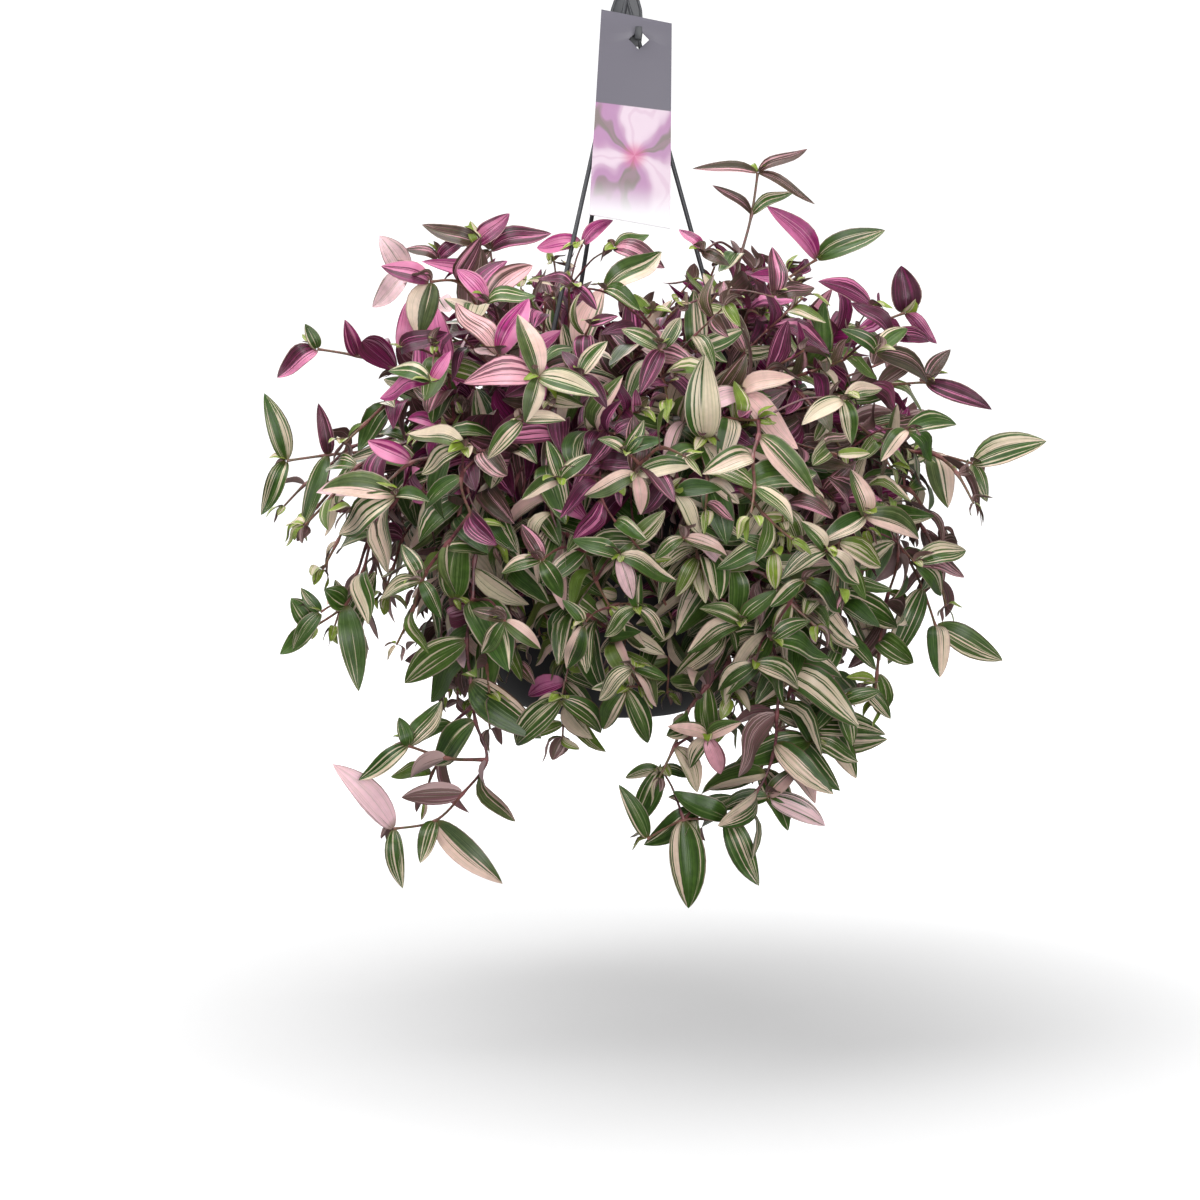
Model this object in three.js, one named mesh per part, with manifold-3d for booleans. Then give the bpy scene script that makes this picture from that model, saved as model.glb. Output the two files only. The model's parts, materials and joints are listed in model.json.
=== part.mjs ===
// Potted tradescantia in a plastic hanging pot.
// Millimetres, +Z up. The origin is the seat inside the top of the hook, on the pot's axis.
// +X runs to the right and +Y away from whoever looks at the front, where the label hangs.

import * as THREE from "three";
import { mergeVertices } from "three/addons/utils/BufferGeometryUtils.js";
import Module from "manifold-3d";

const wasm = await Module();
wasm.setup();

const GAP = 0.3;

// Pot
const RIM_Z = -357;
const BASE_Z = -505;
const RIM_RADIUS = 100;
const WALL_TOP_RADIUS = 93;
const WALL_FOOT_RADIUS = 74.5;
const WALL_FOOT_Z = -473;
const BASE_RADIUS = 50;
const WALL = 1.8;
const LIP_DROP = 9;
const POT_SIDES = 32;
const OUTER_EDGE_STEPS = 5;
const INNER_EDGE_STEPS = 4;
const DRAIN_HOLES = 4;
const DRAIN_RADIUS = 4;
const DRAIN_RING = 34;
const DRAIN_SIDES = 10;
const THROUGH = 20;

// Soil
const SOIL_Z = -369;
const SOIL_CROWN = 4;
const SOIL_SIDES = POT_SIDES / 2;
const ROOT_DEPTH = 24;
const HOLE_RADIUS = 2.9;
const HOLE_SIDES = 4;
const HOLE_ABOVE = 12;
const HOLE_BELOW = 1;
const SOIL_BETWEEN = 1.2;
const STEM_EXIT = 7;

// Hanger: hook, head plate and three arms that meet in one point above the plate
const HOOK_RADIUS = 9;
const HOOK_WIRE = 5;
const HOOK_DEPTH = 5;
const HOOK_FROM = -90;
const HOOK_TO = 215;
const ARC_SEGMENTS = 10;
const PLATE_HALF = [[3, -21], [4.2, -34], [6.3, -45], [10, -57], [11, -68], [10, -80]];
const PLATE_DEPTH = 2.4;
const PLATE_RIB = 1.6;
const RIB_DEPTH = 4.2;
const ARM_APEX_Z = -50;
const ARM_START_Z = -51;
const ARM_SPREAD = 0.3142;
const ARM_RADIUS = 1.5;
const ARM_SIDES = 8;
const ARM_ANGLES = [-6, 114, 234];
const TAB_RING = 96;
const TAB_THICK = 2;
const TAB_WIDE = 6;
const SLOT_THICK = 3;
const SLOT_WIDE = 7.4;
const FOOT_WIDE = 10;
const FOOT_TALL = 2;
const TAB_ABOVE_RIM = 9;
const ARM_END_ABOVE_RIM = 6;

// Label: corners as x, z from the hook's seat
const TAG_CORNERS = [[-16, -57], [29, -64.7], [32, -198], [-19.5, -190.5]];
const TAG_THICK = 0.8;
const TAG_Y = -11;
const TAG_TILT = -14.5;
const TAG_HOLE = { x: 8.5, z: -76, half: 6.5 };
const PEG = { x: 8, radius: 2.2, sides: 8, before: 4, into: 1 };
const KNOB = { wide: 4.4, thick: 2, tall: 8, up: 2 };

// Room kept free of leaves: within the hanger's arms, round the hook and under the flat base
const WITHIN_ARMS = [[-16, -16, -190], [16, 16, -100]];
const ROUND_HOOK = [[-30, -20, -110], [34, 20, 20]];
const UNDER_BASE = { radius: BASE_RADIUS + 3, deep: 200, sides: 12 };

// Foliage
const SEED = 2687;
const CROWN = { x: 20, y: 0, z: -352, across: 188, deep: 184, up: 150, down: 170 };
const HANG_RADIUS = 114;
const HANG_SPREAD = 14;
const TOP_LEVEL = 0.93;
const LOW_LEVEL = -0.95;
const UPRIGHT_LEVEL = 0.3;
const HANGING_LEVEL = -0.15;
const ROOT_FIELD = { least: 12, more: 62 };
const CROWN_REACH = { least: 0.86, more: 0.17 };
const ARCH = { least: 14, more: 16 };
const OVER_RIM = { radius: 106, wider: 6, up: 20, higher: 30 };
const SHOULDER = { least: 8, more: 16, down: 0.45 };
const PLACED_SEED = 100;
const RULE_SHOOTS = 35;
const SECOND_SIDE_FROM = 11;
const GOLDEN_ANGLE = 137.508;
const FIRST_ANGLE = 225;
const INTERNODE = 26;
const SIDE_INTERNODE = 22.1;
const STEM_RADIUS = 1.35;
const STEM_SIDES = 3;
const COLLAR_HALF = 1.4;
const COLLAR_SWELL = 1.15;
const SIDE_START = 5;
const TIP_RADIUS = 0.8;
const ZIGZAG = 1.3;
const LEAF_LENGTH = 54;
const LEAF_SHAPE = 0.41;
const BUD_SHAPE = 0.7;
const LEAF_WAY = {
  aside: 0.8, ahead: 0.45, outwards: 0.2, rising: -0.45, faceUp: 0.75, budAside: 0.2, budAhead: 1,
};
const LEAF_SWAY = {
  aside: 0.2, ahead: 0.3, outwards: 0.35, rising: 0.35, tumble: [0.8, 0.8, 0.5], longer: 0.17, wider: 0.14,
};
const LEAF_BOW = { least: 0.06, more: 0.1 };
const AIMED_BOW = 0.09;
const AIMED_FACE = [0, -1, 0.5];
const BLADE_STATIONS = [0.3, 0.68];
const KEEL = 1.1;
const EDGE_RISE = 0.08;
const ROOT_HALF = 2;
const ROOT_AT = 3;
const BARE_CORE = 0.62;
const CLEARANCE = 0.35;
const COLLAR_ROOM = 0.6;
const OWN_FROM = 0.2;
const MOST_ALONG = 0.6;
const CLOSEST_HEADINGS = 0.62;
const OLDEST_LEAF = 9;
const SIDE_SHARES = [0.48, 0.72];
const SIDE_TURNS = [0, 25, -25, 50, -50];
const SIDE_REACH = { least: 66, more: 26 };
const SIDE_WAY = { aside: 0.85, ahead: 0.6, outwards: 0.3, arch: 4, drop: 16 };
const TIP_BEYOND = 5;

const UP = new THREE.Vector3(0, 0, 1);
const radians = THREE.MathUtils.degToRad;
const vec = (x, y, z) => new THREE.Vector3(x, y, z);
const polar = (radius, degrees, z) =>
  vec(radius * Math.cos(radians(degrees)), radius * Math.sin(radians(degrees)), z);

// ---------------------------------------------------------------- solids

function solidFrom(geometry) {
  const bare = geometry.clone();
  bare.deleteAttribute("normal");
  bare.deleteAttribute("uv");
  const merged = mergeVertices(bare, 1e-4);
  return new wasm.Manifold(new wasm.Mesh({
    numProp: 3,
    vertProperties: new Float32Array(merged.attributes.position.array),
    triVerts: new Uint32Array(merged.index.array),
  }));
}

function meshFrom(solid, name, material) {
  const made = solid.getMesh();
  const geometry = new THREE.BufferGeometry();
  geometry.setAttribute("position", new THREE.BufferAttribute(made.vertProperties, made.numProp));
  geometry.setIndex(new THREE.BufferAttribute(made.triVerts, 1));
  geometry.computeVertexNormals();
  const mesh = new THREE.Mesh(geometry, material);
  mesh.name = name;
  return mesh;
}

function joined(solids) {
  return solids.reduce((sum, solid) => sum.add(solid));
}

// A closed skin that is bridged from ring to ring. A ring of one point is a tip, and rings run
// anticlockwise as seen from where the bridge leads.
class Skin {
  points = [];
  faces = [];

  ring(points) {
    const start = this.points.length;
    this.points.push(...points);
    return points.map((_, i) => start + i);
  }

  cap(ring, backwards) {
    for (let i = 1; i + 1 < ring.length; i++) {
      const pair = backwards ? [ring[i + 1], ring[i]] : [ring[i], ring[i + 1]];
      this.faces.push(ring[0], ...pair);
    }
  }

  // Turns of a ring's points about the way a bridge goes, rising from the first one.
  turns(ring, travel) {
    const flat = travel.clone().cross(ANY_WAY).normalize();
    const other = travel.clone().cross(flat);
    const centre = middleOf(ring.map((i) => this.points[i]));
    return ring.map((i) => {
      const arm = this.points[i].clone().sub(centre);
      return Math.atan2(arm.dot(other), arm.dot(flat));
    });
  }

  bridge(low, high) {
    const from = middleOf(low.map((i) => this.points[i]));
    const to = middleOf(high.map((i) => this.points[i]));
    const travel = to.clone().sub(from).normalize();
    const lowTurns = this.turns(low, travel);
    const highTurns = high.length > 1 ? this.turns(high, travel) : [lowTurns[0]];
    const circle = 2 * Math.PI;
    const wrap = (angle) => angle - circle * Math.round(angle / circle);
    const gaps = highTurns.map((turn) => Math.abs(wrap(turn - lowTurns[0])));
    const first = gaps.indexOf(Math.min(...gaps));
    const rising = (turns, start, base) => {
      const list = [base];
      for (let k = 1; k <= turns.length; k++) {
        const step = turns[(start + k) % turns.length] - turns[(start + k - 1) % turns.length];
        list.push(list[k - 1] + (turns.length > 1 ? step - circle * Math.floor(step / circle) : circle));
      }
      return list;
    };
    const a = rising(lowTurns, 0, lowTurns[0]);
    const b = rising(highTurns, first, lowTurns[0] + wrap(highTurns[first] - lowTurns[0]));
    let i = 0;
    let j = 0;
    while (i < low.length || (j < high.length && high.length > 1)) {
      const lowNext = low[(i + 1) % low.length];
      const highHere = high[(first + j) % high.length];
      const onLow = j === high.length || high.length === 1
        || (i < low.length && a[i] + a[i + 1] <= b[j] + b[j + 1]);
      if (onLow) {
        this.faces.push(low[i % low.length], lowNext, highHere);
        i++;
      } else {
        this.faces.push(low[i % low.length], high[(first + j + 1) % high.length], highHere);
        j++;
      }
    }
  }

  // Whether two faces that share no corner pass through each other.
  crosses() {
    const faces = [];
    for (let f = 0; f < this.faces.length; f += 3) {
      const corners = this.faces.slice(f, f + 3);
      const points = corners.map((i) => this.points[i]);
      faces.push({ corners, points, box: new THREE.Box3().setFromPoints(points) });
    }
    return faces.some((a, i) => faces.some((b, j) => j > i && a.box.intersectsBox(b.box)
      && !a.corners.some((corner) => b.corners.includes(corner))
      && (pierces(a.points, b.points) || pierces(b.points, a.points))));
  }

  solid() {
    return new wasm.Manifold(new wasm.Mesh({
      numProp: 3,
      vertProperties: Float32Array.from(this.points.flatMap((p) => p.toArray())),
      triVerts: Uint32Array.from(this.faces),
    }));
  }
}

// Whether an edge of one triangle passes through another triangle.
function pierces(edges, triangle) {
  const hit = vec(0, 0, 0);
  return edges.some((from, i) => {
    const way = edges[(i + 1) % 3].clone().sub(from);
    const reach = way.length();
    const ray = new THREE.Ray(from, way.normalize());
    return ray.intersectTriangle(...triangle, false, hit) && hit.distanceTo(from) < reach;
  });
}

const ANY_WAY = vec(0.36, 0.48, 0.8);
const middleOf = (points) =>
  points.reduce((sum, p) => sum.add(p), vec(0, 0, 0)).multiplyScalar(1 / points.length);

// A closed solid through rings of points, capped at its first ring and at its last unless that is a tip.
function loft(rings) {
  const skin = new Skin();
  const placed = rings.map((ring) => skin.ring(ring));
  skin.cap(placed[0], true);
  for (let r = 0; r + 1 < placed.length; r++) skin.bridge(placed[r], placed[r + 1]);
  skin.cap(placed.at(-1), false);
  return skin.solid();
}

// ---------------------------------------------------------------- pot and soil

const wallRadius = (z) => THREE.MathUtils.mapLinear(
  z, WALL_FOOT_Z, RIM_Z, WALL_FOOT_RADIUS, WALL_TOP_RADIUS,
);

// The rounded lower edge, a quarter of an ellipse, moved in by a distance.
function lowerEdge(inset, steps) {
  const centre = { r: BASE_RADIUS, z: WALL_FOOT_Z };
  const wide = WALL_FOOT_RADIUS - BASE_RADIUS - inset;
  const tall = WALL_FOOT_Z - BASE_Z - inset;
  return Array.from({ length: steps + 1 }, (_, i) => {
    const turn = (i / steps) * Math.PI / 2;
    return new THREE.Vector2(centre.r + wide * Math.sin(turn), centre.z - tall * Math.cos(turn));
  });
}

function drainHole(index) {
  const hole = new THREE.CylinderGeometry(DRAIN_RADIUS, DRAIN_RADIUS, THROUGH, DRAIN_SIDES);
  hole.rotateX(Math.PI / 2);
  const at = polar(DRAIN_RING, 45 + index * 360 / DRAIN_HOLES, BASE_Z);
  hole.translate(at.x, at.y, at.z);
  return solidFrom(hole);
}

function rimBox(degrees, radius, thick, wide, tall, z) {
  const box = new THREE.BoxGeometry(thick, wide, tall);
  box.translate(radius, 0, z);
  box.rotateZ(radians(degrees));
  return solidFrom(box);
}

function potSolid() {
  const outer = [new THREE.Vector2(0, BASE_Z), ...lowerEdge(0, OUTER_EDGE_STEPS)];
  const rim = [
    [wallRadius(RIM_Z - WALL), RIM_Z - WALL],
    [RIM_RADIUS - WALL, RIM_Z - WALL],
    [RIM_RADIUS - WALL, RIM_Z - LIP_DROP],
    [RIM_RADIUS, RIM_Z - LIP_DROP],
    [RIM_RADIUS, RIM_Z],
    [WALL_TOP_RADIUS - WALL, RIM_Z],
  ].map(([r, z]) => new THREE.Vector2(r, z));
  const inner = lowerEdge(WALL, INNER_EDGE_STEPS).reverse();
  const profile = [...outer, ...rim, ...inner, new THREE.Vector2(0, BASE_Z + WALL)];
  let pot = solidFrom(new THREE.LatheGeometry(profile, POT_SIDES).rotateX(Math.PI / 2));
  for (let i = 0; i < DRAIN_HOLES; i++) pot = pot.subtract(drainHole(i));
  for (const degrees of ARM_ANGLES) {
    pot = pot.subtract(rimBox(degrees, TAB_RING, SLOT_THICK, SLOT_WIDE, 2 * WALL, RIM_Z - WALL / 2));
  }
  return pot;
}

function soilSolid(roots) {
  const inset = WALL + GAP;
  const profile = [
    new THREE.Vector2(0, BASE_Z + inset),
    ...lowerEdge(inset, INNER_EDGE_STEPS),
    new THREE.Vector2(wallRadius(SOIL_Z) - inset, SOIL_Z),
    new THREE.Vector2(0, SOIL_Z + SOIL_CROWN),
  ];
  let soil = solidFrom(new THREE.LatheGeometry(profile, SOIL_SIDES).rotateX(Math.PI / 2));
  for (const root of roots) {
    const tall = ROOT_DEPTH + HOLE_ABOVE;
    const hole = new THREE.CylinderGeometry(HOLE_RADIUS, HOLE_RADIUS, tall, HOLE_SIDES);
    hole.rotateX(Math.PI / 2);
    hole.translate(root.x, root.y, SOIL_Z - ROOT_DEPTH - HOLE_BELOW + tall / 2);
    soil = soil.subtract(solidFrom(hole));
  }
  return soil;
}

// ---------------------------------------------------------------- hanger and label

// A flat shape drawn in x and z, as deep as given along y and centred there.
function plateOf(shape, depth, y = 0) {
  const drawn = { depth, bevelEnabled: false, curveSegments: ARC_SEGMENTS };
  const plate = new THREE.ExtrudeGeometry(shape, drawn);
  plate.rotateX(Math.PI / 2);
  plate.translate(0, y + depth / 2, 0);
  return plate;
}

function hookShape() {
  const centreZ = -HOOK_RADIUS;
  const outer = HOOK_RADIUS + HOOK_WIRE;
  const shape = new THREE.Shape();
  shape.absarc(0, centreZ, outer, radians(HOOK_FROM), radians(HOOK_TO), false);
  shape.absarc(0, centreZ, HOOK_RADIUS, radians(HOOK_TO), radians(HOOK_FROM), true);
  shape.closePath();
  return shape;
}

// The neck widens from the hook down to the fan-shaped head plate.
function plateShape(inset) {
  const right = PLATE_HALF.map(([x, z]) => [x - inset, z]);
  const left = PLATE_HALF.map(([x, z]) => [inset - x, z]).reverse();
  return new THREE.Shape([...right, ...left].map(([x, z]) => new THREE.Vector2(x, z)));
}

function armSolid(degrees) {
  const spread = (z) => ARM_SPREAD * (ARM_APEX_Z - z);
  const start = polar(spread(ARM_START_Z), degrees, ARM_START_Z);
  const end = polar(TAB_RING, degrees, RIM_Z + ARM_END_ABOVE_RIM);
  const section = new THREE.Shape();
  for (let i = 0; i < ARM_SIDES; i++) {
    const turn = (i / ARM_SIDES) * 2 * Math.PI;
    const at = [ARM_RADIUS * Math.cos(turn), ARM_RADIUS * Math.sin(turn)];
    if (i) section.lineTo(...at);
    else section.moveTo(...at);
  }
  section.closePath();
  const extrudePath = new THREE.LineCurve3(start, end);
  const rod = new THREE.ExtrudeGeometry(section, { steps: 1, bevelEnabled: false, extrudePath });
  const tabFoot = RIM_Z - WALL - GAP;
  const tabTall = RIM_Z + TAB_ABOVE_RIM - tabFoot;
  const tab = rimBox(degrees, TAB_RING, TAB_THICK, TAB_WIDE, tabTall, tabFoot + tabTall / 2);
  const foot = rimBox(degrees, TAB_RING, TAB_THICK, FOOT_WIDE, FOOT_TALL, tabFoot - FOOT_TALL / 2);
  return joined([solidFrom(rod), tab, foot]);
}

// The peg that carries the label, with a knob in front that keeps it on.
function pegSolid() {
  const front = TAG_Y - PEG.before;
  const z = TAG_HOLE.z + PEG.radius;
  const peg = new THREE.CylinderGeometry(PEG.radius, PEG.radius, PEG.into - front, PEG.sides);
  peg.translate(PEG.x, (PEG.into + front) / 2, z);
  const knob = new THREE.BoxGeometry(KNOB.wide, KNOB.thick, KNOB.tall);
  knob.translate(PEG.x, front, z + KNOB.up);
  return solidFrom(peg).add(solidFrom(knob));
}

function hangerSolid() {
  const hook = solidFrom(plateOf(hookShape(), HOOK_DEPTH));
  const pocket = plateOf(plateShape(PLATE_RIB), RIB_DEPTH, PLATE_DEPTH - RIB_DEPTH);
  const ribbed = solidFrom(plateOf(plateShape(0), RIB_DEPTH)).subtract(solidFrom(pocket));
  const arms = ARM_ANGLES.map(armSolid);
  const whole = joined([hook, ribbed, pegSolid(), ...arms]);
  // The arms meet round a sliver of a hollow in the hub, which is filled.
  return whole.decompose().sort((a, b) => b.volume() - a.volume())[0];
}

function tagSolid() {
  const shape = new THREE.Shape(TAG_CORNERS.map(([x, z]) => new THREE.Vector2(x, z)));
  const { x, z, half } = TAG_HOLE;
  shape.holes.push(new THREE.Path([
    new THREE.Vector2(x - half, z), new THREE.Vector2(x, z - half),
    new THREE.Vector2(x + half, z), new THREE.Vector2(x, z + half),
  ]));
  const card = plateOf(shape, TAG_THICK);
  card.translate(0, 0, -z);
  card.rotateX(radians(TAG_TILT));
  card.translate(0, TAG_Y, z);
  return solidFrom(card);
}

// ---------------------------------------------------------------- how the plant grows

// A repeatable draw from 0 to 1 for a shoot, a place on it and a purpose.
function draw(shoot, place, purpose) {
  const key = (SEED + shoot * 7919 + place * 104729 + purpose * 1299709) >>> 0;
  const s = (key + 0x6d2b79f5) >>> 0;
  let t = Math.imul(s ^ (s >>> 15), s | 1);
  t ^= t + Math.imul(t ^ (t >>> 7), t | 61);
  return ((t ^ (t >>> 14)) >>> 0) / 4294967296;
}

const sway = (shoot, place, purpose, most) => (2 * draw(shoot, place, purpose) - 1) * most;
const outward = (p) => vec(p.x - CROWN.x, p.y - CROWN.y, p.z - CROWN.z).normalize();

// How far out a point lies: 0 at the crown's centre, 1 on its surface.
function depthOf(p) {
  const tall = p.z > CROWN.z ? CROWN.up : CROWN.down;
  return Math.hypot((p.x - CROWN.x) / CROWN.across, (p.y - CROWN.y) / CROWN.deep, (p.z - CROWN.z) / tall);
}

// Points about `step` apart on a smooth curve through the way points.
function smoothPath(way, step) {
  const fine = [];
  const parts = 12;
  for (let i = 0; i + 1 < way.length; i++) {
    const [a, b, c, d] = [way[Math.max(i - 1, 0)], way[i], way[i + 1], way[Math.min(i + 2, way.length - 1)]];
    for (let k = 0; k < parts; k++) {
      const u = k / parts;
      const mix = (m) => 0.5 * (2 * b[m] + (c[m] - a[m]) * u
        + (2 * a[m] - 5 * b[m] + 4 * c[m] - d[m]) * u * u
        + (3 * b[m] - a[m] - 3 * c[m] + d[m]) * u * u * u);
      fine.push(vec(mix("x"), mix("y"), mix("z")));
    }
  }
  fine.push(way.at(-1).clone());
  const reach = [0];
  for (let i = 1; i < fine.length; i++) reach.push(reach[i - 1] + fine[i].distanceTo(fine[i - 1]));
  const total = reach.at(-1);
  const count = Math.max(2, Math.round(total / step));
  const points = [];
  let from = 0;
  for (let i = 0; i < count; i++) {
    const want = (i * total) / count;
    while (reach[from + 1] < want) from++;
    const share = (want - reach[from]) / (reach[from + 1] - reach[from]);
    points.push(fine[from].clone().lerp(fine[from + 1], share));
  }
  points.push(fine.at(-1));
  return points;
}

// A stem as nodes along its path, each set a little to one side in turn.
function axisAlong(way, step, hand = 1) {
  const points = smoothPath(way, step);
  return points.map((point, i) => {
    const before = points[Math.max(i - 1, 0)];
    const after = points[Math.min(i + 1, points.length - 1)];
    const along = after.clone().sub(before).normalize();
    const side = along.clone().cross(outward(point)).normalize();
    const turn = i % 2 ? hand : -hand;
    const inner = i > 0 && i + 1 < points.length;
    const shifted = inner ? point.clone().addScaledVector(side, turn * ZIGZAG) : point.clone();
    return { point: shifted, along, side, turn, rank: points.length - 1 - i, sprouts: [] };
  });
}

function stemRing(point, along, radius, facing = along.clone().cross(ANY_WAY)) {
  const flat = facing.clone().addScaledVector(along, -facing.dot(along)).normalize();
  const other = along.clone().cross(flat);
  return Array.from({ length: STEM_SIDES }, (_, i) => {
    const turn = ((i - 0.5) / STEM_SIDES) * 2 * Math.PI;
    return point.clone()
      .addScaledVector(flat, radius * Math.cos(turn))
      .addScaledVector(other, radius * Math.sin(turn));
  });
}

const stemRadius = (axis, i) => STEM_RADIUS + (TIP_RADIUS - STEM_RADIUS) * (i / (axis.length - 1));

// Half width of a blade as a share of its widest, widest at two fifths of its length.
const bladeProfile = (t) => (t ** 0.62 * (1 - t) ** 0.9) / 0.358;

// Rings of a leaf's blade, an arch with a keel under its rib, from where it has left its stem.
function bladeRings(leaf, stations, swell = 0) {
  const { root, chord, face, length, width, bow } = leaf;
  const across = chord.clone().cross(face).normalize();
  const lift = across.clone().cross(chord);
  const at = (t) => root.clone()
    .addScaledVector(chord, length * t)
    .addScaledVector(lift, length * bow * 4 * t * (1 - t));
  const rings = stations.map((t) => {
    const half = width * 0.5 * bladeProfile(t);
    const slope = chord.clone().addScaledVector(lift, bow * 4 * (1 - 2 * t)).normalize();
    const normal = across.clone().cross(slope);
    const rise = EDGE_RISE * half + swell;
    return [
      at(t).addScaledVector(across, half + swell).addScaledVector(normal, rise),
      at(t).addScaledVector(normal, -KEEL - swell),
      at(t).addScaledVector(across, -half - swell).addScaledVector(normal, rise),
    ];
  });
  return [...rings, [at(1 + swell / length)]];
}

// A leaf's share of its full length, by the rank of its node: young ones near the tip are short.
const leafGrowth = (rank) => 1 - Math.exp(-(rank + 0.7) / 1.7);

function ruleLeaf(shoot, place, node, size) {
  const { point, along, side, turn, rank } = node;
  const out = outward(point);
  const bud = rank === 0;
  const { aside, ahead, outwards, rising, tumble, longer, wider } = LEAF_SWAY;
  const chord = vec(0, 0, 0)
    .addScaledVector(side, turn * (bud ? LEAF_WAY.budAside : LEAF_WAY.aside + sway(shoot, place, 1, aside)))
    .addScaledVector(along, bud ? LEAF_WAY.budAhead : LEAF_WAY.ahead + sway(shoot, place, 2, ahead))
    .addScaledVector(out, LEAF_WAY.outwards + sway(shoot, place, 3, outwards))
    .addScaledVector(UP, LEAF_WAY.rising + sway(shoot, place, 4, rising))
    .normalize();
  const face = out.clone().addScaledVector(UP, LEAF_WAY.faceUp)
    .add(vec(...tumble.map((most, m) => sway(shoot, place, 5 + m, most))));
  const length = size * LEAF_LENGTH * leafGrowth(rank) * (1 + sway(shoot, place, 8, longer));
  const width = length * LEAF_SHAPE * (1 + sway(shoot, place, 9, wider)) * (bud ? BUD_SHAPE : 1);
  const bow = LEAF_BOW.least + LEAF_BOW.more * draw(shoot, place, 10);
  return { root: point.clone(), chord, face, length, width, bow };
}

// A leaf with a given tip, which faces the front and up.
function aimedLeaf(node, tip, wide) {
  const reach = vec(...tip).sub(node.point);
  const length = reach.length();
  const face = vec(...AIMED_FACE);
  return { root: node.point.clone(), chord: reach.normalize(), face, length, width: wide, bow: AIMED_BOW };
}

// A direction turned away from the stem's own, if it lies too close to it.
function leaning(direction, along) {
  const share = direction.dot(along);
  if (Math.abs(share) <= MOST_ALONG) return direction;
  const across = direction.clone().addScaledVector(along, -share).normalize();
  return across.multiplyScalar(Math.sqrt(1 - MOST_ALONG ** 2))
    .addScaledVector(along, Math.sign(share) * MOST_ALONG);
}

// Ways to bend a leaf clear of its neighbours: a turn about the stem in degrees, and its length.
const LEAF_BENDS = [[0, 1], [12, 1], [-12, 1], [24, 1], [-24, 1],
  [44, 0.95], [-44, 0.95], [70, 0.88], [-70, 0.88], [0, 0.62]];

function bentLeaf(leaf, along, [turn, share]) {
  const chord = leaf.chord.clone().applyAxisAngle(along, radians(turn));
  const face = leaf.face.clone().applyAxisAngle(along, radians(turn * 0.6));
  return { ...leaf, chord, face, length: leaf.length * share, width: leaf.width * share };
}

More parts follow.
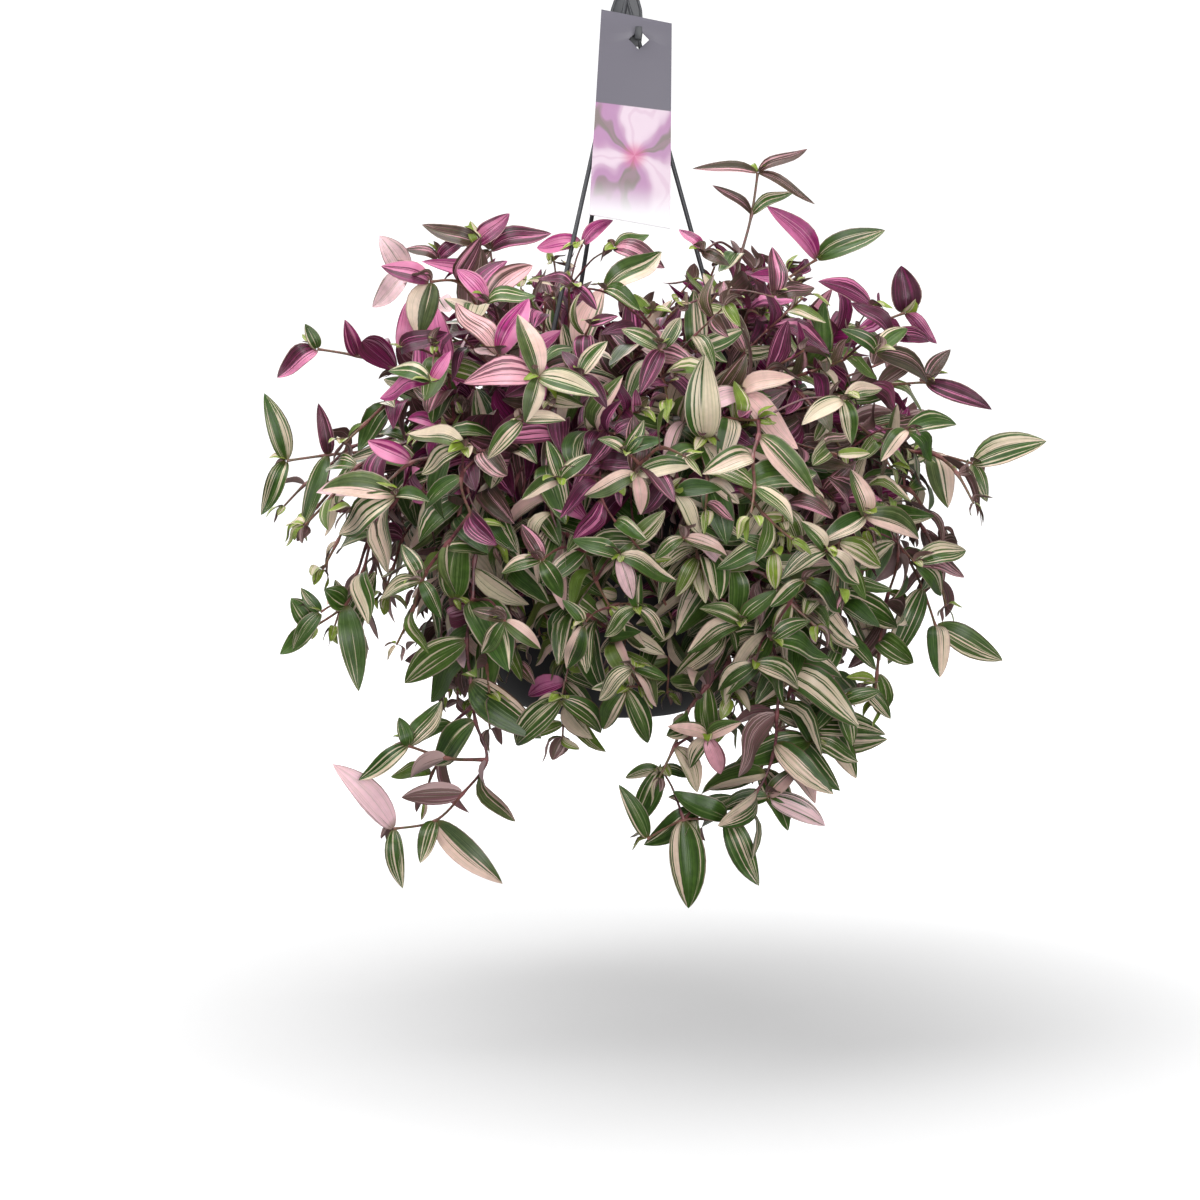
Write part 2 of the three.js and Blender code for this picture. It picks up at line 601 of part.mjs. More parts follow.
// Shoots placed one by one: root [x, y] in the soil, the way their stem takes, and leaves by
// the rank of their node (0 at the tip), each with the place of its own tip and its width.
const PLACED_SHOOTS = [
  {
    name: "spray_top", tint: "pink", root: [24, -8],
    way: [[52, -14, -300], [66, -12, -250], [80, -11, -205], [87, -10, -157]],
    leaves: [[0, [118, -14, -141], 8], [0, [124, -18, -176], 7], [0, [45, -14, -156], 8],
      [1, [58, -20, -166], 7], [1, [106, -2, -160], 9]],
  },
  {
    name: "spray_pale", tint: "pink", root: [-22, -14],
    way: [[-60, -30, -290], [-100, -44, -250], [-133, -50, -228]],
    leaves: [[0, [-150, -55, -204], 17], [0, [-117, -58, -214], 14], [0, [-153, -58, -249], 15],
      [1, [-104, -60, -250], 13]],
  },
  {
    name: "spray_purple", tint: "purple", root: [-14, 6],
    way: [[-40, -2, -300], [-70, -6, -250], [-90, -10, -208]],
    leaves: [[0, [-126, -12, -197], 13], [0, [-70, -16, -188], 14], [1, [-124, -26, -216], 13]],
  },
  {
    name: "spray_left_high", tint: "purple", root: [-36, -6],
    way: [[-85, -14, -312], [-123, -17, -298], [-160, -20, -282], [-190, -20, -278]],
    leaves: [[0, [-215, -24, -297], 15], [0, [-198, -24, -262], 9], [1, [-172, -34, -258], 11]],
  },
  {
    name: "spray_left_far", tint: "green", root: [-62, -16],
    way: [[-98, -22, -330], [-131, -22, -336], [-175, -22, -345], [-208, -22, -350]],
    leaves: [[0, [-223, -24, -307], 15], [0, [-223, -28, -385], 13], [1, [-196, -36, -392], 12],
      [1, [-188, -28, -312], 10]],
  },
  {
    name: "spray_left_pink", tint: "pink", root: [-61, -33],
    way: [[-92, -44, -326], [-115, -52, -345], [-136, -60, -364]],
    leaves: [[0, [-185, -64, -366], 19], [1, [-158, -66, -386], 15]],
  },
  {
    name: "spray_left_low", tint: "green", root: [-66, -40],
    way: [[-106, -62, -334], [-150, -64, -395], [-158, -62, -430], [-185, -58, -452]],
    leaves: [[0, [-206, -60, -470], 13], [0, [-200, -58, -434], 16], [1, [-178, -70, -426], 17],
      [1, [-166, -68, -492], 17]],
  },
  {
    name: "spray_trail_left", tint: "pink", root: [-42, -62],
    way: [[-60, -100, -332], [-76, -122, -372], [-84, -124, -430], [-82, -118, -486],
      [-72, -114, -522], [-96, -112, -559], [-128, -110, -570]],
    leaves: [[0, [-167, -112, -530], 18], [0, [-121, -118, -606], 12], [1, [-59, -118, -601], 18],
      [1, [-112, -124, -588], 12]],
    branch: {
      from: 3,
      way: [[-95, -116, -524], [-120, -118, -516]],
      leaves: [[0, [-126, -120, -498], 10], [0, [-150, -122, -538], 12], [0, [-99, -122, -488], 15]],
    },
  },
  {
    name: "spray_trail_right", tint: "green", root: [26, -66],
    way: [[42, -102, -330], [70, -124, -365], [96, -128, -420], [108, -120, -480],
      [101, -116, -529], [83, -114, -553], [50, -112, -559], [30, -110, -571]],
    leaves: [[0, [36, -112, -526], 14], [0, [11, -112, -537], 12], [1, [57, -116, -613], 23],
      [2, [44, -120, -540], 15], [2, [100, -122, -596], 17]],
  },
  {
    name: "spray_right_far", tint: "green", root: [66, 4],
    way: [[103, 4, -332], [150, -4, -326], [195, -9, -330], [232, -10, -338]],
    leaves: [[0, [279, -12, -322], 21], [0, [242, -18, -362], 12], [1, [216, -26, -366], 18]],
  },
  {
    name: "spray_right_purple", tint: "purple", root: [60, 18],
    way: [[110, 20, -310], [160, 0, -292], [200, -6, -287]],
    leaves: [[0, [243, -12, -303], 14], [0, [226, -4, -276], 11]],
  },
  {
    name: "spray_right_top", tint: "purple", root: [44, 22],
    way: [[84, 16, -305], [135, 4, -265], [185, -5, -243]],
    leaves: [[0, [181, -8, -213], 20], [0, [206, -10, -262], 10]],
  },
  {
    name: "spray_upper_right", tint: "pink", root: [38, 2],
    way: [[64, 8, -290], [98, 10, -235], [128, 8, -211]],
    leaves: [[0, [171, 4, -191], 17], [0, [94, 2, -178], 15], [1, [84, -24, -222], 15]],
  },
  {
    name: "spray_right_low", tint: "green", root: [66, -28],
    way: [[108, -36, -334], [160, -44, -362], [195, -44, -405], [210, -42, -440]],
    leaves: [[0, [254, -42, -461], 19], [0, [222, -50, -480], 15], [1, [180, -60, -464], 17]],
  },
  {
    name: "spray_right_bottom", tint: "green", root: [54, -48],
    way: [[88, -72, -336], [135, -90, -385], [146, -84, -440], [138, -70, -490], [126, -62, -514]],
    leaves: [[0, [181, -62, -511], 19], [0, [104, -72, -548], 16], [1, [160, -72, -536], 17]],
  },
  {
    name: "spray_low_right", tint: "green", root: [42, -52],
    way: [[66, -86, -334], [104, -106, -380], [116, -102, -440], [112, -92, -496], [100, -88, -528]],
    leaves: [[0, [64, -96, -541], 17], [0, [112, -96, -566], 18], [1, [150, -92, -540], 18]],
  },
  {
    name: "spray_salmon", tint: "pink", root: [22, -36],
    way: [[42, -72, -310], [64, -115, -292], [77, -138, -290]],
    leaves: [[0, [108, -150, -279], 13], [0, [47, -152, -304], 14], [0, [74, -150, -263], 11],
      [0, [112, -150, -322], 17]],
  },
  {
    name: "spray_cream", tint: "pink", root: [10, -52],
    way: [[22, -86, -315], [42, -132, -306], [55, -160, -317]],
    leaves: [[0, [53, -172, -266], 22], [0, [68, -172, -369], 21]],
  },
  {
    name: "spray_green_top", tint: "green", root: [8, -24],
    way: [[24, -44, -310], [42, -74, -280], [50, -88, -268]],
    leaves: [[0, [47, -94, -230], 15], [0, [76, -96, -250], 13]],
  },
  {
    name: "spray_cream_left", tint: "pink", root: [-30, -28],
    way: [[-54, -52, -300], [-86, -86, -246], [-106, -106, -224], [-114, -114, -230]],
    leaves: [[0, [-120, -118, -264], 20], [0, [-146, -112, -232], 14], [1, [-84, -116, -202], 13]],
  },
  {
    name: "spray_green_left", tint: "green", root: [-56, -54],
    way: [[-76, -84, -334], [-92, -114, -365], [-94, -122, -400], [-94, -124, -423]],
    leaves: [[0, [-92, -132, -379], 20], [0, [-109, -130, -459], 18], [0, [-74, -132, -462], 15]],
  },
];

// ---------------------------------------------------------------- shoots by rule

// Ways to shift a whole shoot clear: a turn about the pot's axis in degrees, and its root outwards.
const SHOOT_SHIFTS = [
  [0, 0], [6, 0], [-6, 0], [3, 7], [-3, -7], [12, 0], [-12, 0], [9, -7], [-9, 7], [18, 4], [-18, -4],
];

function ruleShoot(index, [turn, shift]) {
  const place = (index + 0.5) / RULE_SHOOTS;
  const level = TOP_LEVEL - (TOP_LEVEL - LOW_LEVEL) * place;
  const degrees = FIRST_ANGLE + index * GOLDEN_ANGLE + turn;
  const rootRadius = ROOT_FIELD.least + ROOT_FIELD.more * Math.sqrt(place) + shift;
  const round = Math.sqrt(1 - level * level);
  const reach = CROWN_REACH.least + CROWN_REACH.more * draw(index, 0, 20);
  const tall = level > 0 ? CROWN.up : CROWN.down;
  const least = HANG_RADIUS + HANG_SPREAD * draw(index, 0, 25);
  const wide = (axis) => (level < 0 ? Math.max(axis * round * reach, least) : axis * round * reach);
  const tip = vec(
    CROWN.x + wide(CROWN.across) * Math.cos(radians(degrees)),
    CROWN.y + wide(CROWN.deep) * Math.sin(radians(degrees)),
    CROWN.z + tall * level * reach,
  );
  const root = polar(rootRadius, degrees, 0);
  const tipRadius = Math.hypot(tip.x, tip.y);
  const way = [];
  if (level > UPRIGHT_LEVEL) {
    const middle = polar((rootRadius + tipRadius) / 2, degrees, (SOIL_Z + tip.z) / 2);
    way.push(middle.addScaledVector(UP, ARCH.least + ARCH.more * draw(index, 0, 21)));
  } else {
    const over = OVER_RIM.radius + OVER_RIM.wider * draw(index, 0, 22);
    way.push(polar(over, degrees, RIM_Z + OVER_RIM.up + OVER_RIM.higher * draw(index, 0, 23)));
    if (level < HANGING_LEVEL) {
      const shoulder = tipRadius + SHOULDER.least + SHOULDER.more * draw(index, 0, 24);
      way.push(polar(shoulder, degrees, THREE.MathUtils.lerp(way[0].z, tip.z, SHOULDER.down)));
    }
  }
  way.push(tip);
  return { root: [root.x, root.y], way: way.map((p) => p.toArray()) };
}

// A side shoot that leaves its stem at a node, at a share of its length.
function sideShoot(index, axis, share, turn) {
  const from = Math.ceil(axis.length * share);
  const node = axis[from];
  const reach = SIDE_REACH.least + SIDE_REACH.more * draw(index, 1, 30);
  const heading = node.side.clone().multiplyScalar(-node.turn * SIDE_WAY.aside)
    .addScaledVector(node.along, SIDE_WAY.ahead)
    .addScaledVector(outward(node.point), SIDE_WAY.outwards)
    .normalize();
  heading.copy(leaning(heading, node.along)).applyAxisAngle(node.along, radians(turn));
  const bend = node.point.clone().addScaledVector(heading, reach / 2).addScaledVector(UP, SIDE_WAY.arch);
  const end = node.point.clone().addScaledVector(heading, reach).addScaledVector(UP, -SIDE_WAY.drop);
  return { node, axis: axisAlong([node.point, bend, end], SIDE_INTERNODE, node.turn) };
}

function mainAxis(shoot) {
  const exit = vec(...shoot.root, SOIL_Z + STEM_EXIT);
  return axisAlong([exit, ...shoot.way.map((p) => vec(...p))], INTERNODE);
}

// A bare stem as a solid, to test what it would meet.
function stemSolid(axis, root, thicker = 0) {
  const last = axis.length - 1;
  const rings = axis.map(({ point, along }, i) =>
    (i < last ? stemRing(point, along, stemRadius(axis, i) + thicker) : [point]));
  if (root) rings.unshift(footRing(root, thicker));
  return loft(rings);
}

const footRing = (root, thicker = 0) =>
  stemRing(vec(...root, SOIL_Z - ROOT_DEPTH), UP, STEM_RADIUS + thicker);

// A leaf as a solid from a share of its length on, to test what it would meet.
function leafSolid(leaf, from, thicker = 0) {
  const { root, chord, face, length } = leaf;
  const start = Math.max(ROOT_AT / length, from);
  if (from > 0) return loft(bladeRings(leaf, [start, ...BLADE_STATIONS], thicker));
  const across = chord.clone().cross(face).normalize();
  const section = root.clone().addScaledVector(chord, ROOT_AT);
  const half = ROOT_HALF + thicker;
  const base = [
    section.clone().addScaledVector(across, half),
    section.clone().addScaledVector(across.clone().cross(chord), -half),
    section.clone().addScaledVector(across, -half),
  ];
  return loft([base, ...bladeRings(leaf, BLADE_STATIONS, thicker)]);
}

// ---------------------------------------------------------------- one skin for a shoot

function growLeaf(skin, ring, leaf) {
  let below = ring;
  for (const section of bladeRings(leaf, BLADE_STATIONS)) {
    const above = skin.ring(section);
    skin.bridge(below, above);
    below = above;
  }
}

// A short collar at a node. Leaves and side shoots leave it through its faces.
function growCollar(skin, below, node, radius) {
  const [first] = node.sprouts;
  const wide = radius * COLLAR_SWELL;
  const facing = first.heading;
  const low = skin.ring(stemRing(
    node.point.clone().addScaledVector(node.along, -COLLAR_HALF), node.along, wide, facing,
  ));
  const high = skin.ring(stemRing(
    node.point.clone().addScaledVector(node.along, COLLAR_HALF), node.along, wide, facing,
  ));
  skin.bridge(below, low);
  const sides = low.map((corner, k) => {
    const next = (k + 1) % low.length;
    const ring = [corner, low[next], high[next], high[k]];
    const normal = middleOf(ring.map((i) => skin.points[i])).sub(node.point).normalize();
    return { ring, normal };
  });
  for (const sprout of node.sprouts) {
    sides.sort((a, b) => b.normal.dot(sprout.heading) - a.normal.dot(sprout.heading));
    sprout.grow(skin, sides.shift().ring);
  }
  for (const { ring } of sides) skin.faces.push(ring[0], ring[1], ring[2], ring[0], ring[2], ring[3]);
  return high;
}

function growAxis(skin, axis, start) {
  let below = start;
  axis.forEach((node, i) => {
    const radius = stemRadius(axis, i);
    if (i === 0 && axis.side) {
      const from = node.point.clone().addScaledVector(node.along, SIDE_START);
      const ring = skin.ring(stemRing(from, node.along, radius));
      skin.bridge(below, ring);
      below = ring;
    } else if (node.sprouts.length) {
      below = growCollar(skin, below, node, radius);
    } else {
      const ring = skin.ring(stemRing(node.point, node.along, radius));
      skin.bridge(below, ring);
      below = ring;
    }
  });
  const tip = axis.at(-1);
  if (tip.end) {
    growLeaf(skin, below, tip.end);
  } else {
    skin.bridge(below, skin.ring([tip.point.clone().addScaledVector(tip.along, TIP_BEYOND)]));
  }
}

function shootSkin({ root, axes: [axis] }) {
  const skin = new Skin();
  const foot = skin.ring(footRing(root));
  skin.cap(foot, true);
  growAxis(skin, axis, foot);
  return skin;
}

// ---------------------------------------------------------------- keeping pieces clear

function meets(solid, others) {
  const box = solid.boundingBox();
  return others.some((other) => {
    const apart = [0, 1, 2].some((m) => box.min[m] > other.box.max[m] || box.max[m] < other.box.min[m]);
    return !apart && solid.intersect(other.solid).volume() > 0;
  });
}

const kept = (solid, owner) => ({ solid, owner, box: solid.boundingBox() });

// ---------------------------------------------------------------- the assembly

const finish = (color, roughness, metalness = 0) =>
  new THREE.MeshStandardMaterial({ color, roughness, metalness });

const potPlastic = finish(0x27272a, 0.55);
const hangerPlastic = finish(0x3d3f42, 0.5);
const tagCard = finish(0x7d7985, 0.45);
const pottingSoil = finish(0x2e241c, 0.95);
const leafTints = {
  green: finish(0x4d6b3a, 0.4),
  pink: finish(0xc9a69b, 0.4),
  purple: finish(0x7a2f5c, 0.4),
};

function boxSolid(low, high) {
  const size = high.map((value, m) => value - low[m]);
  const box = new THREE.BoxGeometry(...size);
  box.translate(...low.map((value, m) => value + size[m] / 2));
  return solidFrom(box);
}

function freeRoom() {
  const { radius, deep, sides } = UNDER_BASE;
  const under = new THREE.CylinderGeometry(radius, radius, deep, sides);
  under.rotateX(Math.PI / 2);
  under.translate(0, 0, BASE_Z - 1 - deep / 2);
  return [
    boxSolid(...WITHIN_ARMS),
    boxSolid(...ROUND_HOOK),
    solidFrom(under),
  ];
}

const pot = potSolid();
const hanger = hangerSolid();
const tag = tagSolid();
const hardware = [pot, hanger, tag, ...freeRoom()].map((solid) => kept(solid));
const bareSoil = kept(soilSolid([]));

const plant = [];
const stemsSoFar = [];
const leavesSoFar = [];

function rootShoot(name, tint, seed, shoot) {
  const apart = 2 * HOLE_RADIUS + SOIL_BETWEEN;
  const crowded = plant.some(({ root }) =>
    Math.hypot(root[0] - shoot.root[0], root[1] - shoot.root[1]) < apart);
  const axis = mainAxis(shoot);
  const thick = stemSolid(axis, shoot.root, CLEARANCE);
  if (crowded || meets(thick, stemsSoFar) || meets(thick, hardware)) return false;
  stemsSoFar.push(kept(stemSolid(axis, shoot.root, COLLAR_ROOM), name));
  const size = 0.9 + 0.2 * draw(seed, 0, 40);
  plant.push({ name, tint, seed, size, root: shoot.root, axes: [axis], given: shoot });
  return true;
}

function keepSideAxis(shoot, node, axis) {
  axis.side = true;
  stemsSoFar.push(kept(stemSolid(axis, null, COLLAR_ROOM), shoot.name));
  shoot.axes.push(axis);
  node.sprouts.push({ heading: axis[0].along, grow: (skin, ring) => growAxis(skin, axis, ring) });
}

function addSideShoot(shoot, share) {
  const others = stemsSoFar.filter(({ owner }) => owner !== shoot.name);
  for (const turn of SIDE_TURNS) {
    const { node, axis } = sideShoot(shoot.seed, shoot.axes[0], share, turn);
    const thick = stemSolid(axis, null, CLEARANCE);
    if (meets(thick, others) || meets(thick, hardware) || meets(thick, [bareSoil])) continue;
    keepSideAxis(shoot, node, axis);
    return;
  }
}

// Adds a leaf at a node in the first way that keeps it clear, or none.
function addLeaf(shoot, node, leaf, atEnd) {
  if (atEnd ? node.end : node.sprouts.length === STEM_SIDES) return;
  const mine = (list, own) => list.filter(({ owner }) => (owner === shoot.name) === own);
  const otherLists = [mine(leavesSoFar, false), mine(stemsSoFar, false), hardware, [bareSoil]];
  const ownLists = [mine(leavesSoFar, true), mine(stemsSoFar, true)];
  for (const bend of LEAF_BENDS) {
    const bent = bentLeaf(leaf, node.along, bend);
    if (!atEnd) bent.chord = leaning(bent.chord, node.along);
    const beside = [...node.sprouts.map(({ heading }) => heading), ...(node.end ? [node.end.chord] : [])];
    if (beside.some((heading) => heading.dot(bent.chord) > CLOSEST_HEADINGS)) continue;
    const whole = leafSolid(bent, 0, CLEARANCE);
    const outer = leafSolid(bent, OWN_FROM, CLEARANCE);
    if (otherLists.some((list) => meets(whole, list))) continue;
    if (ownLists.some((list) => meets(outer, list))) continue;
    if (atEnd) node.end = bent;
    else node.sprouts.push({ heading: bent.chord, grow: (skin, ring) => growLeaf(skin, ring, bent) });
    if (!shootSkin(shoot).crosses()) {
      leavesSoFar.push(kept(leafSolid(bent, 0), shoot.name));
      return;
    }
    if (atEnd) node.end = null;
    else node.sprouts.pop();
  }
}

function tintAt([x, , z], chance) {
  if (x < -20 && z > -320) return chance < 0.75 ? "purple" : "pink";
  if (chance < 0.16) return "pink";
  return chance > 0.93 ? "purple" : "green";
}

PLACED_SHOOTS.forEach((shoot, i) => {
  const rooted = rootShoot(shoot.name, shoot.tint, PLACED_SEED + i, shoot);
  if (!rooted) throw new Error(shoot.name + " is not clear");
});
for (let i = 0; i < RULE_SHOOTS; i++) {
  const name = "stem_" + String(i + 1).padStart(2, "0");
  SHOOT_SHIFTS.some((shift) => {
    const shoot = ruleShoot(i, shift);
    return rootShoot(name, tintAt(shoot.way.at(-1), draw(i, 0, 41)), i, shoot);
  });
}
for (const shoot of plant) {
  const { branch } = shoot.given;
  if (branch) {
    const node = shoot.axes[0].at(-1 - branch.from);
    keepSideAxis(shoot, node, axisAlong([node.point, ...branch.way.map((p) => vec(...p))], INTERNODE));
  } else if (shoot.name.startsWith("stem")) {
    addSideShoot(shoot, SIDE_SHARES[0]);
    if (shoot.seed >= SECOND_SIDE_FROM) addSideShoot(shoot, SIDE_SHARES[1]);
  }
}
for (const shoot of plant) {
  const lists = [shoot.given.leaves ?? [], shoot.given.branch?.leaves ?? []];
  lists.forEach((list, a) => {
    list.forEach(([rank, tip, wide], n) => {
      const node = shoot.axes[a].at(-1 - rank);
      addLeaf(shoot, node, aimedLeaf(node, tip, wide), n === 0 && rank === 0);
    });
  });
}
for (let rank = 0; rank <= OLDEST_LEAF; rank++) {
  for (const shoot of plant) {
    shoot.axes.forEach((axis, a) => {
      const given = [shoot.given.leaves, shoot.given.branch?.leaves][a] ?? [];
      const index = axis.length - 1 - rank;
      if (index < 1 || given.some(([at]) => at === rank)) return;
      const node = axis[index];
      if (depthOf(node.point) < BARE_CORE) return;
      addLeaf(shoot, node, ruleLeaf(shoot.seed, a * 20 + rank, node, shoot.size), rank === 0);
    });
  }
}

const plantInPot = new THREE.Group();
plantInPot.name = "potted_tradescantia";
plantInPot.add(meshFrom(pot, "pot", potPlastic));
plantInPot.add(meshFrom(hanger, "hanger", hangerPlastic));
plantInPot.add(meshFrom(tag, "tag", tagCard));
plantInPot.add(meshFrom(soilSolid(plant.map(({ root }) => vec(...root, 0))), "soil", pottingSoil));
for (const shoot of plant) {
  plantInPot.add(meshFrom(shootSkin(shoot).solid(), shoot.name, leafTints[shoot.tint]));
}

export default plantInPot;
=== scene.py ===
"""Looks of a potted tradescantia in a hanging pot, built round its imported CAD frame.

Metres, +Z up. The origin is the seat inside the hook, and the label hangs on the -Y side.
"""

import json
import math
import random
from types import SimpleNamespace

import bmesh
import bpy
import numpy as np
from mathutils import Matrix, Vector


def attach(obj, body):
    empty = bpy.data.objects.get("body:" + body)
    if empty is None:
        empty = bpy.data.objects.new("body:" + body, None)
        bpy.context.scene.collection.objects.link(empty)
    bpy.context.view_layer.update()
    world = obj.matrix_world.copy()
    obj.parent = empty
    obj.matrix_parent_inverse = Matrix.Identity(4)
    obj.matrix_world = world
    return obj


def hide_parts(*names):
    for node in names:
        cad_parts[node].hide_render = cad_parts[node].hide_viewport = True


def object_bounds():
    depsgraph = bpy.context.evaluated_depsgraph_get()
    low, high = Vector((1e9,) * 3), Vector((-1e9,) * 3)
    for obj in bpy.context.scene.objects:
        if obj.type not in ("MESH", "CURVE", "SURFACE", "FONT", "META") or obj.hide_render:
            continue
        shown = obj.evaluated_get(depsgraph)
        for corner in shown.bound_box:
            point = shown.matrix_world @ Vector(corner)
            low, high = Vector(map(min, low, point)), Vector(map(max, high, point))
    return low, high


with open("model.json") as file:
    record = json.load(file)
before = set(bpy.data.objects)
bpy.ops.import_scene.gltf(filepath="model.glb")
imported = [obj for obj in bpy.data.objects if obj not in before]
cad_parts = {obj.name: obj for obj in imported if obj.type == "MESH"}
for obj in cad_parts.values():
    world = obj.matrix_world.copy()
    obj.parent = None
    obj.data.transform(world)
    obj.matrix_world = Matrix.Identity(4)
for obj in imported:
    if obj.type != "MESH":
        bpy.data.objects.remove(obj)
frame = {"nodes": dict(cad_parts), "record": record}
cad_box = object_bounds()
nodes = frame["nodes"]
slots = {s["node"]: s["material_slot"] for s in frame["record"]["subparts"]}
MM = 0.001
UP = Vector((0, 0, 1))
HARDWARE = ("pot", "hanger", "tag", "soil")
# Starts of the random draws
SIZE_SEED, FRONT_SEED, SHOOT_SEED, MORE_SEED, SOIL_SEED = 31, 9000, 1000, 5000, 77

# Sizes the frame has, in millimetres
RIM_Z, BASE_Z, SOIL_Z, FOOT_Z = -357, -505, -369, -473
WALL_LOW, WALL_TOP, RIM_WAY, RIM_DEEP, CLEAR = 74.5, 93, 100, 12, 4
CROWN = Vector((28, -4, -352)) * MM
ACROSS, DEEP, TALL, LOW = (v * MM for v in (178, 182, 146, 168))
SQUARE = 2.6
ARM_TURNS = (-6, 114, 234)
ARM_TOP, ARM_END = (0.314, -51), (96, RIM_Z + 6)

# ---- camera

AIM = Vector((-4.4, 0, -435.8)) * MM
AWAY, FIELD, SENSOR = 2.2, 0.78, 36
TILT, ROLL = math.radians(7), math.radians(1.9)


def shown(name, data):
    """A new object in the scene."""
    made = bpy.data.objects.new(name, data)
    bpy.context.scene.collection.objects.link(made)
    return made


forward = Vector((0, math.cos(TILT), -math.sin(TILT)))
right = Vector((1, 0, 0))
cam_up = right.cross(forward) * math.cos(ROLL) - right * math.sin(ROLL)
facing = Matrix((forward.cross(cam_up), cam_up, -forward)).transposed().to_4x4()
camera = shown("camera", bpy.data.cameras.new("camera"))
camera.data.lens = SENSOR * AWAY / FIELD
camera.matrix_world = Matrix.Translation(AIM - forward * AWAY) @ facing
bpy.context.scene.camera = camera

# ---- node trees


class Tree:
    """The nodes of a material or world, with short ways to add the common ones."""

    def __init__(self, owner, shader="Principled BSDF"):
        self.owner = owner
        owner.use_nodes = True
        self.tree = owner.node_tree
        self.shader = self.tree.nodes[shader]

    def put(self, socket, value):
        if isinstance(value, bpy.types.NodeSocket):
            self.tree.links.new(value, socket)
        elif isinstance(value, (tuple, list)) and len(value) == 3 and socket.type == "RGBA":
            socket.default_value = (*value, 1)
        else:
            socket.default_value = value

    def add(self, kind, ins, out=0, **settings):
        node = self.tree.nodes.new(kind)
        for key, value in settings.items():
            setattr(node, key, value)
        for key, value in ins.items():
            self.put(node.inputs[key], value)
        return node.outputs[out]

    def math(self, operation, *values, clamp=False):
        ins = dict(enumerate(values))
        return self.add("ShaderNodeMath", ins, operation=operation, use_clamp=clamp)

    def times(self, a, b):
        return self.math("MULTIPLY", a, b)

    def line(self, value, slope, base):
        return self.math("MULTIPLY_ADD", value, slope, base)

    def total(self, *pairs):
        """The sum of value times weight."""
        result = 0.0
        for value, weight in pairs:
            result = self.line(value, weight, result)
        return result

    def step(self, value, low, high):
        """0 below low, 1 above high, smooth between."""
        ins = {0: value, 1: low, 2: high}
        return self.add("ShaderNodeMapRange", ins, interpolation_type="SMOOTHSTEP")

    def mix(self, share, a, b, blend="MIX"):
        ins = {0: share, 6: a, 7: b}
        return self.add("ShaderNodeMix", ins, 2, data_type="RGBA", blend_type=blend)

    def far(self, x, y):
        """How far a point is from the middle."""
        return self.math("SQRT", self.total((self.times(x, x), 1.0), (self.times(y, y), 1.0)))

    def vector(self, x, y, z):
        return self.add("ShaderNodeCombineXYZ", {0: x, 1: y, 2: z})

    def parts(self, value, kind="XYZ"):
        """The three numbers in a vector or, with kind "Color", in a colour."""
        node = self.tree.nodes.new("ShaderNodeSeparate" + kind)
        self.put(node.inputs[0], value)
        return node.outputs[:3]

    def noise(self, vector, scale, detail=2.0, rough=0.5):
        ins = {"Vector": vector, "Scale": scale, "Detail": detail, "Roughness": rough}
        return self.add("ShaderNodeTexNoise", ins)

    def attribute(self, name, out="Vector"):
        return self.add("ShaderNodeAttribute", {}, out, attribute_name=name)

    def place(self, kind="Object"):
        return self.add("ShaderNodeTexCoord", {}, kind)

    def grain(self, *how):
        """Noise fixed to the object."""
        return self.noise(self.place(), *how)

    def bump(self, height, strength, distance):
        ins = {"Height": height, "Strength": strength, "Distance": distance}
        self.put(self.shader.inputs["Normal"], self.add("ShaderNodeBump", ins))

    def finish(self, **values):
        for key, value in values.items():
            self.put(self.shader.inputs[key.replace("_", " ")], value)
        return self.owner


def material(name):
    return Tree(bpy.data.materials.new(name))


# Leaf colours, linear
DARK_GREEN, MID_GREEN = (0.019, 0.058, 0.007), (0.045, 0.112, 0.014)
MILKY_GREEN, YOUNG_GREEN = (0.17, 0.25, 0.08), (0.34, 0.46, 0.05)
CREAM, PINK, ROSE = (0.68, 0.60, 0.43), (0.75, 0.47, 0.44), (0.56, 0.10, 0.31)
MAROON, MAGENTA = (0.060, 0.009, 0.026), (0.42, 0.025, 0.20)
LILAC, BLUSH = (0.68, 0.27, 0.50), (0.84, 0.58, 0.62)
PALE_MARGIN, DARK_MARGIN = (0.50, 0.36, 0.31), (0.13, 0.03, 0.04)


def striped(t):
    """The lengthwise stripes of a leaf, and how far each point belongs to a light one."""
    s, along, lean = t.parts(t.attribute("strip"))
    vari, pink, purple = t.parts(t.attribute("leaf_mix", "Color"), "Color")
    r1, r2, r3 = t.parts(t.attribute("leaf_seed"))

    def lines(scale, stretch, shift):
        where = t.vector(
            t.line(s, scale, t.times(r1, shift)),
            t.line(along, stretch, t.times(r2, 31.0)),
            t.times(r3, 17.0),
        )
        return t.noise(where, 1.0, 1.0)

    across = t.math("ABSOLUTE", s)
    broad, middle, fine = lines(1.3, 0.3, 41.0), lines(5.5, 0.5, 67.0), lines(16.0, 0.8, 89.0)
    margin = t.step(across, 0.74, 0.98)
    value = t.total((broad, 0.45), (middle, 0.75), (fine, 0.45), (t.times(lean, s), 0.5), (margin, -0.10))
    level = t.line(vari, -0.34, 0.995)
    light = t.step(value, t.math("SUBTRACT", level, 0.022), t.math("ADD", level, 0.022))
    return SimpleNamespace(
        across=across, along=along, vari=vari, pink=pink, purple=purple, light=light, broad=broad,
        middle=middle, fine=fine, r1=r1, r2=r2, r3=r3, young=t.attribute("leaf_mix", "Alpha"),
    )


